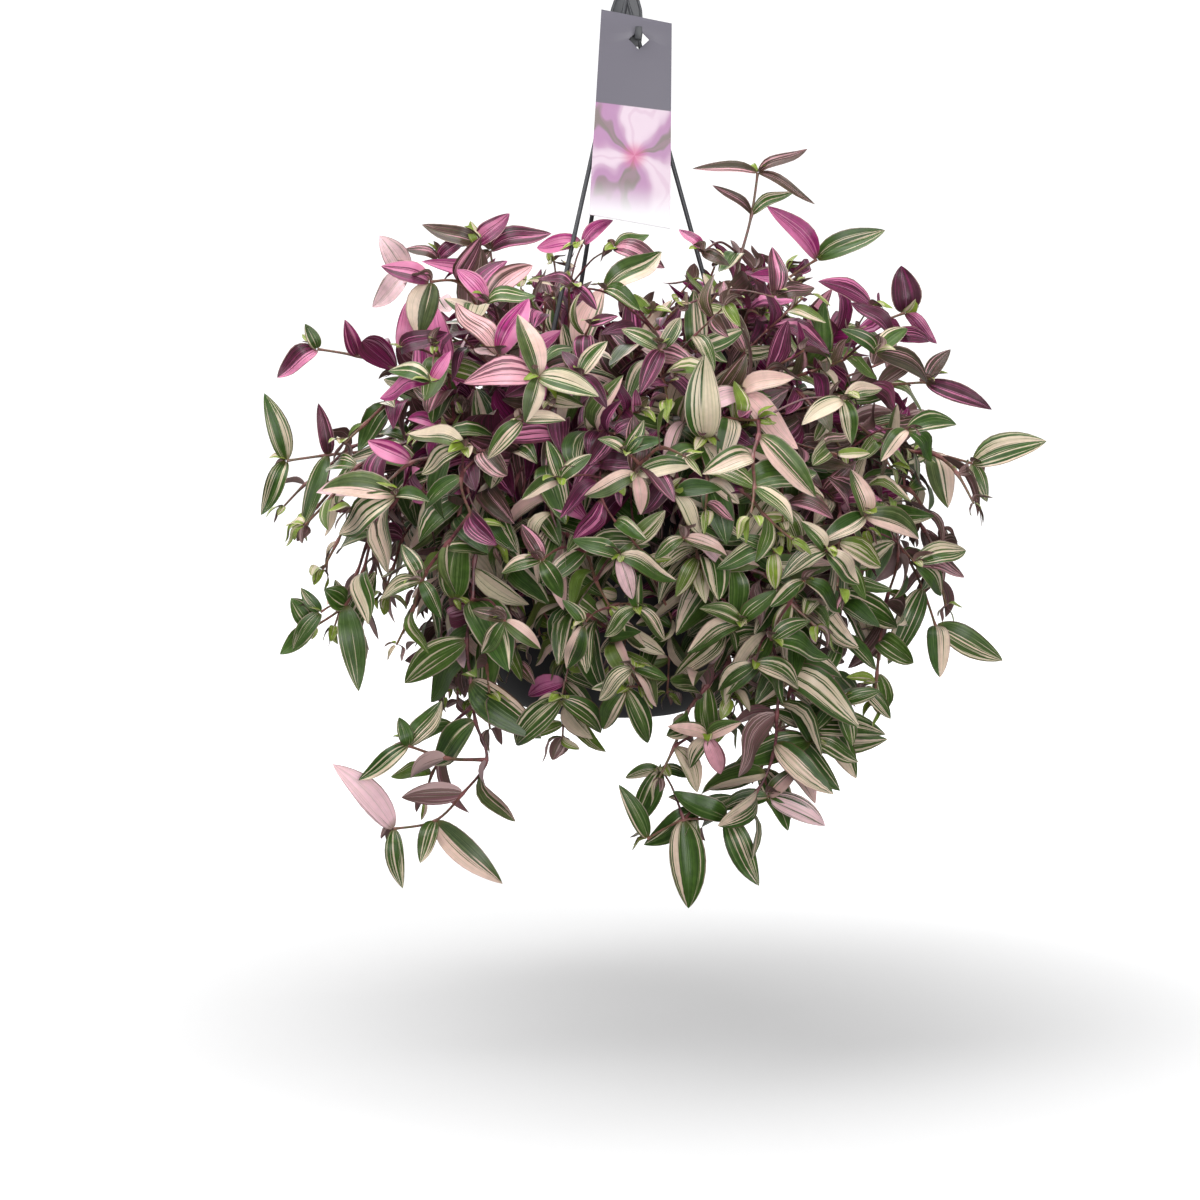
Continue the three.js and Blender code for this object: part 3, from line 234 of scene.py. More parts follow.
def leaf_top():
    t = material("leaf_top")
    p = striped(t)
    green = t.mix(t.step(p.fine, 0.35, 0.65), DARK_GREEN, MID_GREEN)
    milky = t.times(t.step(p.middle, 0.52, 0.60), t.line(p.r2, 0.5, 0.1))
    green = t.mix(milky, green, MILKY_GREEN)
    green = t.mix(t.times(p.young, 0.7), green, YOUNG_GREEN)
    blush = t.total((p.pink, 1.0), (t.step(p.broad, 0.4, 0.7), 0.25), (p.purple, 0.5))
    pale = t.mix(t.math("MINIMUM", blush, 1.0), CREAM, PINK)
    pale = t.mix(t.step(p.pink, 0.80, 0.95), pale, BLUSH)
    hairs = t.times(t.step(p.fine, 0.52, 0.62), 0.32)
    pale = t.mix(hairs, pale, (0.30, 0.30, 0.15))
    pale = t.mix(t.times(p.purple, 0.85), pale, ROSE)
    vivid = t.step(t.total((p.fine, 1.0), (p.vari, 0.5)), 0.48, 0.95)
    dark = t.mix(p.purple, green, t.mix(vivid, MAROON, MAGENTA))
    colour = t.mix(p.light, dark, pale)
    rib = t.math("SUBTRACT", 1.0, t.step(p.across, 0.012, 0.05))
    colour = t.mix(t.times(rib, 0.3), colour, t.mix(p.purple, MILKY_GREEN, LILAC))
    edge = t.times(t.step(p.across, 0.90, 0.98), 0.65)
    colour = t.mix(edge, colour, t.mix(t.step(p.r3, 0.50, 0.70), PALE_MARGIN, DARK_MARGIN))
    foot = t.math("SUBTRACT", 0.75, t.step(p.along, 0.0, 0.16))
    colour = t.mix(t.math("MAXIMUM", foot, 0.0), colour, (0.12, 0.10, 0.03))
    mottle = t.grain(240.0, 3.0)
    shade = t.mix(t.step(mottle, 0.3, 0.7), (0.62, 0.62, 0.60), (1, 1, 1))
    blotchy = t.total((p.r1, 0.3), (p.light, -0.35), (0.5, 1.0))
    colour = t.mix(blotchy, colour, shade, "MULTIPLY")
    veins = t.total((p.fine, 0.6), (rib, -0.5), (t.grain(900.0), 0.25))
    t.bump(veins, 0.4, 0.0007)
    return t.finish(
        Specular_IOR_Level=0.35, Base_Color=colour, Roughness=t.total((mottle, 0.25), (0.22, 1.0)),
        Subsurface_Weight=0.10, Subsurface_Radius=(0.002, 0.0016, 0.0008),
    )


def leaf_under():
    t = material("leaf_under")
    p = striped(t)
    violet = t.mix(t.step(p.fine, 0.3, 0.7), MAROON, MAGENTA)
    deep = t.mix(t.line(p.purple, -0.66, 0.66), violet, (0.135, 0.14, 0.078))
    pale = t.mix(t.line(p.purple, 0.6, 0.2), (0.48, 0.38, 0.31), LILAC)
    colour = t.mix(t.times(p.light, 0.85), deep, pale)
    t.bump(t.total((p.fine, 0.7), (t.grain(900.0), 0.3)), 0.4, 0.0007)
    return t.finish(
        Specular_IOR_Level=0.3, Base_Color=colour, Roughness=t.total((p.middle, 0.2), (0.36, 1.0)),
        Subsurface_Weight=0.10, Subsurface_Radius=(0.002, 0.001, 0.001),
    )


def stem_skin():
    t = material("stem_skin")
    young = t.attribute("leaf_mix", "Alpha")
    spots = t.grain(420.0, 3.0)
    old = t.mix(t.step(spots, 0.35, 0.7), (0.055, 0.014, 0.018), (0.17, 0.045, 0.055))
    fresh = t.mix(t.step(spots, 0.35, 0.7), (0.13, 0.11, 0.035), (0.24, 0.10, 0.075))
    knot = t.parts(t.attribute("leaf_mix", "Color"), "Color")[0]
    colour = t.mix(t.times(young, 0.8), old, fresh)
    colour = t.mix(t.times(knot, 0.5), colour, (0.36, 0.13, 0.13))
    t.bump(spots, 0.3, 0.0005)
    return t.finish(Base_Color=colour, Roughness=t.total((spots, 0.2), (0.32, 1.0)))


LEAFY = [leaf_top(), leaf_under(), stem_skin()]


def moulded(name, dark, light, rough):
    t = material(name)
    grain = t.grain(1500.0, 2.0)
    cloud = t.grain(22.0, 3.0)
    colour = t.mix(t.step(cloud, 0.25, 0.75), dark, light)
    t.bump(grain, 0.25, 0.0003)
    return t.finish(Base_Color=colour, Roughness=t.total((cloud, 0.16), (rough, 1.0)))


def crumbly():
    t = material("crumbly_soil")
    lumps = t.grain(190.0, 6.0, 0.7)
    colour = t.mix(t.step(lumps, 0.35, 0.7), (0.010, 0.007, 0.005), (0.060, 0.040, 0.026))
    t.bump(t.grain(600.0, 5.0, 0.7), 0.9, 0.002)
    return t.finish(Base_Color=colour, Roughness=0.95)


# ---- meshes

LEAF_CREASE = 50


def mesh_of(name, bm):
    mesh = bpy.data.meshes.new(name)
    bm.to_mesh(mesh)
    bm.free()
    return mesh


class Build:
    """Collects the corners, faces, materials and leaf numbers of one piece."""

    def __init__(self):
        self.points, self.faces, self.kinds = [], [], []
        self.strip, self.mix, self.seed = [], [], []

    def add(self, points, faces, kinds, strip, mix, seed):
        start = len(self.points)
        self.points += points
        self.faces += [tuple(i + start for i in f) for f in faces]
        self.kinds += kinds
        self.strip += strip
        self.mix += mix
        self.seed += [seed] * len(points)

    def piece(self, name, replaced=()):
        mesh = bpy.data.meshes.new(name)
        mesh.from_pydata(self.points, [], self.faces)
        for label, kind, key, values in (
            ("strip", "FLOAT_VECTOR", "vector", self.strip),
            ("leaf_mix", "FLOAT_COLOR", "color", self.mix),
            ("leaf_seed", "FLOAT_VECTOR", "vector", self.seed),
        ):
            layer = mesh.attributes.new(label, kind, "POINT")
            layer.data.foreach_set(key, np.array(values, np.float32).ravel())
        add_piece(name, mesh, LEAFY, replaced, LEAF_CREASE, self.kinds)


def add_piece(name, mesh, materials, replaced, crease, kinds=None):
    """Adds a smooth piece with edges sharper than crease, which stands for the nodes it replaces."""
    mesh.materials.clear()
    for one in materials:
        mesh.materials.append(one)
    mesh.polygons.foreach_set("material_index", kinds or [0] * len(mesh.polygons))
    mesh.polygons.foreach_set("use_smooth", [True] * len(mesh.polygons))
    mesh.set_sharp_from_angle(angle=math.radians(crease))
    mesh.update()
    made = shown(name, mesh)
    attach(made, "root")
    if replaced:
        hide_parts(*replaced)


# ---- reading the frame's shoots

# The frame's leaves and stems: how deep a rib lies, where two rings cut it, and limits on their corners
RIB_DEPTH, RIB_AT = 1.1, (0.3, 0.68)
LEAF_LEAST, RING_LEAST, EVEN = 2.0 * MM, 3.2 * MM, 1.04
ROOT_REACH, ROOT_DEPTH = 90 * MM, 12


def read_shoot(name):
    """The stems and leaves of a shoot's solid: chains of nodes, each with the leaves that leave it.

    A leaf is a tip with two rings of three corners below it. A stem is a row of small rings of three,
    in pairs where leaves or side stems leave it.
    """
    bm = bmesh.new()
    bm.from_mesh(nodes[name].data)
    bmesh.ops.remove_doubles(bm, verts=bm.verts, dist=1e-5)
    bm.verts.index_update()
    co = [v.co.copy() for v in bm.verts]
    near = [{e.other_vert(v).index for e in v.link_edges} for v in bm.verts]
    faces = {frozenset(v.index for v in f.verts) for f in bm.faces}
    bm.free()

    def rooted(p):
        return math.hypot(p.x, p.y) < ROOT_REACH and p.z < (SOIL_Z - ROOT_DEPTH) * MM

    def centre(ring):
        return sum((co[i] for i in ring), Vector()) / len(ring)

    def around(ring, *seen):
        return set().union(*(near[i] for i in ring)) - set(ring).union(*seen)

    def section(ring):
        """A leaf's rib, its way up and half its width, where a ring of corners cuts it."""
        keel = min(ring, key=lambda i: sum((co[i] - co[j]).length for j in ring))
        a, b = [co[i] for i in ring if i != keel][:2]
        rise = ((a + b) / 2 - co[keel]).normalized()
        return co[keel] + rise * RIB_DEPTH * MM, rise, (a - b).length / 2

    leaves, leafy = [], set()
    for v, beside in enumerate(near):
        if len(beside) != 3 or rooted(co[v]):
            continue
        second = list(beside)
        if max((co[a] - co[b]).length for a in second for b in second) < LEAF_LEAST:
            continue
        first = list(around(second, {v}))
        base = around(first, second, {v})
        (p1, rise, half), (p2, rise2, _) = section(first), section(second)
        tip = co[v]
        # The rib is an arch from root to tip, and these two points on it give its root and height.
        (t1, h1), (t2, h2) = ((t, 4 * t * (1 - t)) for t in RIB_AT)
        root = (h2 * (p1 - t1 * tip) - h1 * (p2 - t2 * tip)) / (h2 * (1 - t1) - h1 * (1 - t2))
        leaves.append({
            "root": root, "tip": tip, "arch": (p1 - (1 - t1) * root - t1 * tip) / h1, "top": rise + rise2,
            "half": half / profile(t1), "base": base, "held": False,
        })
        leafy |= {v, *second, *first}

    rings = []
    for a in range(len(co)):
        if a in leafy:
            continue
        for b in near[a] - leafy:
            for c in (near[a] & near[b]) - leafy:
                if not a < b < c:
                    continue
                sides = sorted((co[i] - co[j]).length for i, j in ((a, b), (b, c), (a, c)))
                even = sides[2] < EVEN * sides[0] and sides[2] < RING_LEAST
                if even and (frozenset((a, b, c)) not in faces or rooted(co[a])):
                    rings.append(frozenset((a, b, c)))
    touch = {r: {q for q in rings if q != r and around(r) & q} for r in rings}
    chains, seen = [], set()

    def follow(start, ring):
        chain = [dict(start, leaves=[])] if start else []
        while ring:
            seen.add(ring)
            radius = (co[min(ring)] - centre(ring)).length
            beside = (q for q in touch[ring] - seen if (centre(q) - centre(ring)).length < RING_LEAST)
            twin = next(beside, None)
            ends = ring | twin if twin else ring
            held = [leaf for leaf in leaves if leaf["base"] <= ends and not leaf["held"]]
            for leaf in held:
                leaf["held"] = True
            node = {"point": centre(ends), "radius": radius, "leaves": held, "joint": bool(twin)}
            chain.append(node)
            forks, following = set(), touch[ring] - seen
            if twin:
                seen.add(twin)
                forks = {q for q in touch[ring] & touch[twin] if q not in seen}
                following = touch[twin] - seen - forks
            branches.extend((node, q) for q in forks)
            ring = next(iter(following), None)
        chains.append(chain)

    branches = []
    follow(None, next(r for r in rings if rooted(centre(r))))
    while branches:
        start, ring = branches.pop(0)
        if ring not in seen:
            follow(start, ring)
    for leaf in leaves:
        if not leaf["held"]:
            node = min((n for c in chains for n in c), key=lambda n: (n["point"] - leaf["root"]).length)
            node["leaves"].append(leaf)
    return chains


def profile(t):
    """A leaf's width at a share of its length, where 1 is the widest."""
    return t ** 0.62 * (1 - t) ** 0.9 / 0.358


# ---- fine leaves and stems

# Steps along a leaf and across it, for leaves seen close and for the rest
FINE = ([0.0, 0.05, 0.12, 0.21, 0.32, 0.44, 0.56, 0.68, 0.79, 0.88, 0.95],
        [-1.0, -0.66, -0.33, 0.0, 0.33, 0.66, 1.0])
LIGHTER = ([0.0, 0.07, 0.18, 0.33, 0.50, 0.67, 0.82, 0.93], [-1.0, -0.5, 0.0, 0.5, 1.0])
LEAF_THICK = 0.22 * MM


def add_leaf(build, leaf, looks, rnd, detail=FINE):
    """A closed blade: a folded, slightly twisted surface with an upper and an under side."""
    along, sides = detail
    root, tip, arch = leaf["root"], leaf["tip"], leaf["arch"]
    chord = tip - root
    length = chord.length
    heading = chord / length
    across = heading.cross(leaf["top"]).normalized()
    lift = across.cross(heading)
    fold = rnd.uniform(0.22, 0.62)
    twist = rnd.uniform(-0.4, 0.4)
    sickle = rnd.uniform(-0.06, 0.06) * length
    curl = rnd.uniform(-0.02, 0.10) * length
    waves, phase = rnd.uniform(1.2, 2.6), rnd.uniform(0, 6.28)
    ripple = rnd.uniform(0.02, 0.07)
    start = min(0.9 * MM / length, 0.1)
    points, strip = [], []

    def spot(t, s, thick):
        half = leaf["half"] * max(profile(min(t, 0.999)), 0.16 * (1 - t))
        turn = twist * (t - 0.4)
        side = across * math.cos(turn) + lift * math.sin(turn)
        slope = (chord + arch * 4 * (1 - 2 * t)).normalized()
        normal = side.cross(slope)
        wave = ripple * math.sin(waves * 6.28 * t + phase + (1.3 if s > 0 else 0)) * abs(s) ** 1.5
        bend = across * (sickle * math.sin(math.pi * t)) + lift * (curl * math.sin(2 * math.pi * t))
        height = half * (fold * abs(s) ** 1.25 - 0.12 * s * s + wave)
        middle = root + chord * t + arch * (4 * t * (1 - t)) + bend
        return middle + side * (half * s) + normal * (height + thick * (1 - s * s))

    def put(t, s, thick):
        points.append(spot(t, s, thick))
        strip.append((s, t, looks[4]))
        return len(points) - 1

    rows = []
    for t0 in along:
        t = start + (1 - start) * t0
        thick = LEAF_THICK * (1 - 0.5 * t)
        upper = [put(t, s, thick) for s in sides]
        rows.append((upper, [upper[0], *(put(t, s, -thick) for s in sides[1:-1]), upper[-1]]))
    points.append(tip.copy())
    strip.append((0, 1, looks[4]))
    faces, end = [], len(points) - 1
    for (u0, l0), (u1, l1) in zip(rows, rows[1:]):
        for k in range(len(sides) - 1):
            faces += [(u0[k], u0[k + 1], u1[k + 1], u1[k]), (l0[k], l1[k], l1[k + 1], l0[k + 1])]
    u, low = rows[-1]
    for k in range(len(sides) - 1):
        faces += [(u[k], u[k + 1], end), (low[k], end, low[k + 1])]
    kinds = [0, 1] * (len(faces) // 2) + [1]
    u, low = rows[0]
    faces.append(tuple(low + u[-2:0:-1]))
    seed = tuple(rnd.random() for _ in range(3))
    build.add(points, faces, kinds, strip, [looks[:4]] * len(points), seed)


STEM_SIDES, STEM_STEP = 7, 3.2 * MM
# How far a knot swells the stem behind it and ahead of it, in millimetres
SHEATH = (2.4, 4.5)


def smooth_line(points, step):
    """Points about step apart on a smooth curve through the given ones, each with its place among them."""
    out = []
    for i in range(len(points) - 1):
        a, b, c, d = points[max(i - 1, 0)], points[i], points[i + 1], points[min(i + 2, len(points) - 1)]
        count = max(1, round((c - b).length / step))
        for k in range(count):
            u = k / count
            out.append((0.5 * (2 * b + (c - a) * u + (2 * a - 5 * b + 4 * c - d) * u * u
                               + (3 * b - a - 3 * c + d) * u ** 3), i + u))
    out.append((points[-1].copy(), len(points) - 1.0))
    return out


def add_stem(build, chain):
    """A round stem through a chain of nodes, swollen and sheathed where leaves leave it."""
    points = [n["point"] for n in chain]
    line = smooth_line(points, STEM_STEP)
    reach = [0.0]
    for (p, _), (q, _) in zip(line, line[1:]):
        reach.append(reach[-1] + (q - p).length)
    knots = [r for (p, place), r in zip(line, reach) if place == int(place) and chain[int(place)]["joint"]]
    last = len(chain) - 1
    rings, mix, out, arm = [], [], [], None
    for i, (p, place) in enumerate(line):
        ahead = line[min(i + 1, len(line) - 1)][0] - line[max(i - 1, 0)][0]
        ahead.normalize()
        arm = ahead.orthogonal() if arm is None else (arm - ahead * arm.dot(ahead))
        arm.normalize()
        other = ahead.cross(arm)
        low = min(int(place), last)
        share = place - low
        radius = chain[low]["radius"] * (1 - share) + chain[min(low + 1, last)]["radius"] * share
        swell = 0.0
        for knot in knots:
            gap = (reach[i] - knot) / MM
            swell = max(swell, math.exp(-(gap / SHEATH[gap >= 0]) ** 2))
        radius = radius * (0.86 + 0.42 * swell)
        age = max(0.0, 1 - (last - place) / 3)
        ring = []
        for k in range(STEM_SIDES):
            turn = 2 * math.pi * k / STEM_SIDES
            ring.append(len(out))
            out.append(p + (arm * math.cos(turn) + other * math.sin(turn)) * radius)
            mix.append((swell, 0, 0, age))
        rings.append(ring)
    faces = [tuple(reversed(rings[0])), tuple(rings[-1])]
    for a, b in zip(rings, rings[1:]):
        for k in range(STEM_SIDES):
            m = (k + 1) % STEM_SIDES
            faces.append((a[k], a[m], b[m], b[k]))
    build.add(out, faces, [2] * len(faces), [(0, 0, 0)] * len(out), mix, (0, 0, 0))


# ---- what colour a leaf has


def spread(value, low, high):
    return min(1.0, max(0.0, (value - low) / (high - low)))


def outness(p):
    q = p - CROWN
    flat = math.hypot(q.x / ACROSS, q.y / DEEP)
    return (flat ** SQUARE + abs(q.z / (TALL if q.z > 0 else LOW)) ** SQUARE) ** (1 / SQUARE)


# Kinds of leaf: the share of light stripes, pink, purple and one-sidedness, each from least to most
KINDS = {
    "striped": ((0.16, 0.46), (0.0, 0.22), (0.0, 0.05), (0.0, 0.3)),
    "lined": ((0.12, 0.26), (0.0, 0.3), (0.0, 0.0), (0.0, 0.1)),
    "green": ((0.0, 0.18), (0.0, 0.1), (0.0, 0.05), (0.0, 0.2)),
    "cream": ((0.60, 0.86), (0.0, 0.3), (0.0, 0.0), (0.0, 0.3)),
    "half": ((0.42, 0.58), (0.0, 0.7), (0.0, 0.1), (0.75, 1.0)),
    "salmon": ((0.86, 1.05), (0.7, 0.95), (0.0, 0.1), (0.0, 0.2)),
    "blush": ((1.0, 1.3), (0.9, 1.0), (0.0, 0.25), (0.0, 0.0)),
    "bronze": ((0.05, 0.28), (0.1, 0.4), (0.45, 0.7), (0.0, 0.3)),
    "purple": ((0.10, 0.42), (0.3, 0.8), (0.8, 1.0), (0.0, 0.3)),
    "magenta": ((0.48, 0.85), (0.5, 0.9), (0.85, 1.0), (0.0, 0.6)),
    "rosy": ((0.65, 0.9), (0.6, 0.78), (0.3, 0.5), (0.0, 0.2)),
    "maroon": ((0.0, 0.14), (0.3, 0.6), (0.9, 1.0), (0.0, 0.3)),
    "young": ((0.1, 0.5), (0.0, 0.1), (0.0, 0.0), (0.0, 0.3)),
}
# How much likelier each kind is on a pink or a purple shoot
FAVOURED = {
    "foliage_green": {},
    "foliage_pink": {"cream": 2.2, "half": 2.4, "salmon": 3.5, "blush": 5.0},
    "foliage_purple": {
        "purple": 4.0, "magenta": 3.0, "bronze": 3.0, "maroon": 2.0, "cream": 0.3, "green": 0.4,
    },
}


def looks_of(kind, rnd, rank=4):
    """Light share, pink, purple, young and one-sidedness of a leaf of one kind."""
    light, pink, purple, lean = (rnd.uniform(*ends) for ends in KINDS[kind])
    young = (0.85, 0.4, 0.1)[rank] if rank < 3 else rnd.uniform(0, 0.12)
    young *= rnd.uniform(0.3, 1.0) * (1 - purple)
    if kind == "young":
        young = 1.0
    return (light, pink, purple, young, lean * rnd.choice((-1, 1)))


def character(p, tint, rank, rnd):
    """The looks of a leaf, by chance from where it grows and on which kind of shoot."""
    left = spread(-p.x / MM, -10, 110)
    high = spread(p.z / MM, -385, -320)
    inner = 1 - spread(outness(p), 0.50, 0.80)
    centre = high * (1 - spread(abs(p.x / MM + 5), 40, 90))
    hanging = 1 - spread(p.z / MM, -430, -370)
    weights = {
        "striped": 5.4, "green": 1.5, "cream": 0.5 + 0.5 * hanging, "half": 0.7 + 0.9 * hanging,
        "salmon": 0.18, "blush": 0.06,
        "bronze": 0.35 + 2.0 * high + 1.5 * centre, "maroon": 1.3 * high + 3.0 * inner + 4.5 * centre,
        "purple": 0.10 + 3.2 * left * high + 0.6 * high + 1.5 * inner + 1.2 * centre,
        "magenta": 0.03 + 1.7 * left * high,
    }
    for kind, times in FAVOURED[tint].items():
        weights[kind] *= times
    kind = rnd.choices(list(weights), list(weights.values()))[0]
    return looks_of(kind, rnd, rank)


def leaves_in(words, count):
    """Kinds of leaf in a row of words, each with the count of numbers after it."""
    step = count + 1
    return [(words[i], *map(int, words[i + 1:i + step])) for i in range(0, len(words), step)]


# Leaves that stand out at the front: their kinds, and where their tips are across and up, in millimetres
FEATURED = {}
for row in """
spray_top  bronze 118 -141  bronze 124 -176  bronze 45 -156  bronze 58 -166  lined 106 -168  lined 87 -157
spray_pale  blush -150 -204  blush -117 -214  blush -153 -249  blush -104 -250
spray_purple  bronze -126 -197  purple -70 -188  magenta -124 -216
spray_left_high  purple -215 -297  green -198 -262  magenta -172 -258
spray_left_far  lined -223 -307  lined -223 -385  lined -208 -394  purple -188 -312
spray_left_pink  blush -185 -366  cream -158 -386
spray_left_low  lined -206 -470  lined -200 -434  lined -178 -426  green -155 -490
spray_trail_left  blush -167 -530  striped -121 -606  half -59 -601  striped -117 -574  green -126 -498
spray_trail_left  striped -150 -538  striped -100 -488  green -124 -480
spray_trail_right  lined 45 -538  green 11 -537  lined 57 -613  lined 100 -596
spray_right_far  lined 279 -322  striped 242 -362  half 216 -366
spray_right_purple  maroon 243 -303  bronze 216 -266
spray_right_top  maroon 181 -213  purple 206 -262
spray_upper_right  green 171 -191  magenta 94 -178  magenta 84 -222
spray_right_low  striped 254 -461  striped 200 -473  striped 179 -464
spray_right_bottom  striped 181 -511  striped 153 -536
spray_salmon  salmon 108 -279  salmon 47 -304  salmon 52 -292  salmon 112 -322
spray_cream  cream 53 -266  cream 67 -370
spray_green_top  striped 47 -230  green 82 -261
spray_cream_left  half -120 -264  purple -146 -232  bronze -84 -202
spray_low_right  striped 64 -541  striped 112 -566  green 150 -540
spray_green_left  green -83 -385  green -125 -446  green -59 -449
stem_12  striped 53 -333  cream 82 -345  striped 107 -361
""".strip().splitlines():
    name, *words = row.split()
    FEATURED.setdefault(name, []).extend(leaves_in(words, 2))
NEAR_ENOUGH = 16


def featured(name, leaf, tint, rank, rnd):
    tip = leaf["tip"] / MM
    gaps = [(math.hypot(tip.x - x, tip.z - z), kind) for kind, x, z in FEATURED.get(name, ())]
    if gaps and min(gaps)[0] < NEAR_ENOUGH:
        return looks_of(min(gaps)[1], rnd)
    return character(leaf["tip"], tint, rank, rnd)


# ---- the shoots of the frame

CELL = 6 * MM
# Points on the leaves, arms and twigs that are there, by the cube of space that they are in
taken = {}


def cell_of(p):
    return (int(p.x // CELL), int(p.y // CELL), int(p.z // CELL))


def samples(leaf):
    """Points spread over a leaf, to keep leaves apart."""
    chord = leaf["tip"] - leaf["root"]
    across = chord.cross(leaf["top"]).normalized()
    for t in (0.2, 0.4, 0.6, 0.8, 0.97):
        middle = leaf["root"] + chord * t + leaf["arch"] * (4 * t * (1 - t))
        for s in (-0.7, 0, 0.7):
            yield middle + across * (s * leaf["half"] * profile(t))


def occupy(points):
    for p in points:
        taken.setdefault(cell_of(p), []).append(p)


def pot_reach(z):
    """How far the pot and soil reach from the axis at a height."""
    if z > (RIM_Z + 8) * MM or z < (BASE_Z - 8) * MM:
        return 0
    if z > (RIM_Z - RIM_DEEP) * MM:
        return (RIM_WAY + CLEAR) * MM
    return (wall(max(z / MM, FOOT_Z)) + CLEAR) * MM


def free(leaf, apart):
    low, high = cad_box
    for p in samples(leaf):
        x, y, z = cell_of(p)
        for i in (x - 1, x, x + 1):
            for j in (y - 1, y, y + 1):
                for k in (z - 1, z, z + 1):
                    if any((q - p).length < apart for q in taken.get((i, j, k), ())):
                        return False
        if math.hypot(p.x, p.y) < pot_reach(p.z):
            return False
    tip = leaf["tip"]
    return all(low[m] <= tip[m] <= high[m] for m in range(3))


def wall(z):
    """The pot's radius at a height, above its rounded foot."""
    return WALL_LOW + (WALL_TOP - WALL_LOW) * (z - FOOT_Z) / (RIM_Z - FOOT_Z)


def shortened(leaf, share):
    return dict(leaf, tip=leaf["root"] + (leaf["tip"] - leaf["root"]) * share, arch=leaf["arch"] * share,
                half=leaf["half"] * share)


shoots = {name: read_shoot(name) for name in sorted(nodes) if name not in HARDWARE}
sizes = random.Random(SIZE_SEED)
FAR_LEFT, LONG_LEAF, ARM_POINTS = -150 * MM, 28 * MM, 90


def at_far_left(leaf):
    return leaf["tip"].x < FAR_LEFT and (leaf["tip"] - leaf["root"]).length > LONG_LEAF


for name, chains in shoots.items():
    for chain in chains:
        for node in chain:
            if not name.startswith("spray"):
                node["leaves"] = [
                    shortened(leaf, sizes.uniform(0.80, 1.0) * (0.78 if at_far_left(leaf) else 1))
                    for leaf in node["leaves"]
                ]
            for leaf in node["leaves"]:
                occupy(samples(leaf))
for degrees in ARM_TURNS:
    a = math.radians(degrees)
    for i in range(ARM_POINTS):
        r, z = (ARM_TOP[m] + (ARM_END[m] - ARM_TOP[m]) * i / (ARM_POINTS - 1) for m in (0, 1))
        occupy([Vector((r * math.cos(a), r * math.sin(a), z)) * MM])

EXTRA_SIZE, EXTRA_GAP, FRONT_GAP = 47 * MM, 4.4 * MM, 2.2 * MM
EXTRA_STEP, EXTRA_SHARE, EXTRA_TRIES = 6.0 * MM, 0.80, 7
# How far out of the crown's middle, as shares of its reach, leaves start, thin out and end
CORE, CROWN_EDGE, CROWN_LIMIT = 0.5, (0.86, 1.02), 1.08


def grown(rank):
    """A leaf's size by how many are younger than it."""
    return (0.50, 0.78, 0.92)[int(rank)] if rank < 3 else 1.0


def outward(p):
    return Vector((p.x - CROWN.x, p.y - CROWN.y, 0)).normalized()


def scattered(rnd, reach):
    return Vector(rnd.uniform(-reach, reach) for _ in range(3))


def extra_leaf(point, along, side, rnd, size, out):
    """A leaf by the same rule as the frame's: aside and ahead of its stem, outwards and drooping."""
    chord = (side * rnd.uniform(0.6, 1.0) + along * rnd.uniform(-0.1, 0.6)
             + out * rnd.uniform(-0.1, 0.5) - UP * rnd.uniform(-0.25, 0.65)).normalized()
    length = size * rnd.uniform(0.66, 1.08)
    face = outward(point) * 0.9 + UP * 0.7 + scattered(rnd, 0.8)
    across = chord.cross(face).normalized()
    lift = across.cross(chord)
    return {
        "root": point.copy(), "tip": point + chord * length, "top": lift,
        "arch": lift * length * rnd.uniform(0.07, 0.22), "half": length * 0.205 * rnd.uniform(0.86, 1.14),
    }


def add_bud(build, point, along, rnd):
    """A few tiny fresh leaves at the end of a stem."""
    for _ in range(rnd.choice((2, 3, 3))):
        way = (along + scattered(rnd, 0.8)).normalized()
        length = rnd.uniform(8, 16) * MM
        face = (UP + scattered(rnd, 0.6)).normalized()
        lift = way.cross(face).normalized().cross(way)
        leaf = {"root": point - along * 0.5 * MM, "tip": point + way * length, "top": lift,
                "arch": lift * length * 0.15, "half": length * rnd.uniform(0.25, 0.34)}
        add_leaf(build, leaf, looks_of("young", rnd, 0), rnd, LIGHTER)


def add_extra(build, at, sides, size, apart, anywhere, tint, rank, rnd):
    """Adds the first leaf that finds room, of those towards the sides given."""
    point, along, out = at
    for side in sides:
        leaf = extra_leaf(point, along, side, rnd, size, out)
        if free(leaf, apart) and (outness(leaf["tip"]) < CROWN_LIMIT or anywhere):
            occupy(samples(leaf))
            add_leaf(build, leaf, character(leaf["tip"], tint, rank, rnd), rnd, LIGHTER)
            return


# Shoots that carry more leaves outside the crown, and shoots that carry none there but the frame's
BUSHY = ("spray_low_right", "spray_right_bottom", "spray_trail_right")
SPARSE = ("spray_trail_left", "spray_left_far", "spray_left_high", "spray_top", "spray_right_far")


def grow_between(build, name, chain, tint, rnd):
    """Adds leaves along a stem, between those that the frame gives it."""
    line = smooth_line([n["point"] for n in chain], EXTRA_STEP)
    thinned = 0.6 if name in BUSHY else 1.0 if name in SPARSE else 0.8
    for i in range(1, len(line) - 1):
        p, place = line[i]
        far = outness(p)
        if far < CORE or rnd.random() > EXTRA_SHARE * (1 - thinned * spread(far, *CROWN_EDGE)):
            continue
        along = (line[i + 1][0] - line[i - 1][0]).normalized()
        rank = len(chain) - 1 - place
        sides = (Matrix.Rotation(rnd.uniform(0, 6.283), 3, along) @ along.orthogonal().normalized()
                 for _ in range(EXTRA_TRIES))
        add_extra(build, (p, along, (p - CROWN).normalized()), sides, EXTRA_SIZE * grown(rank), EXTRA_GAP,
                  name in BUSHY, tint, int(rank), rnd)


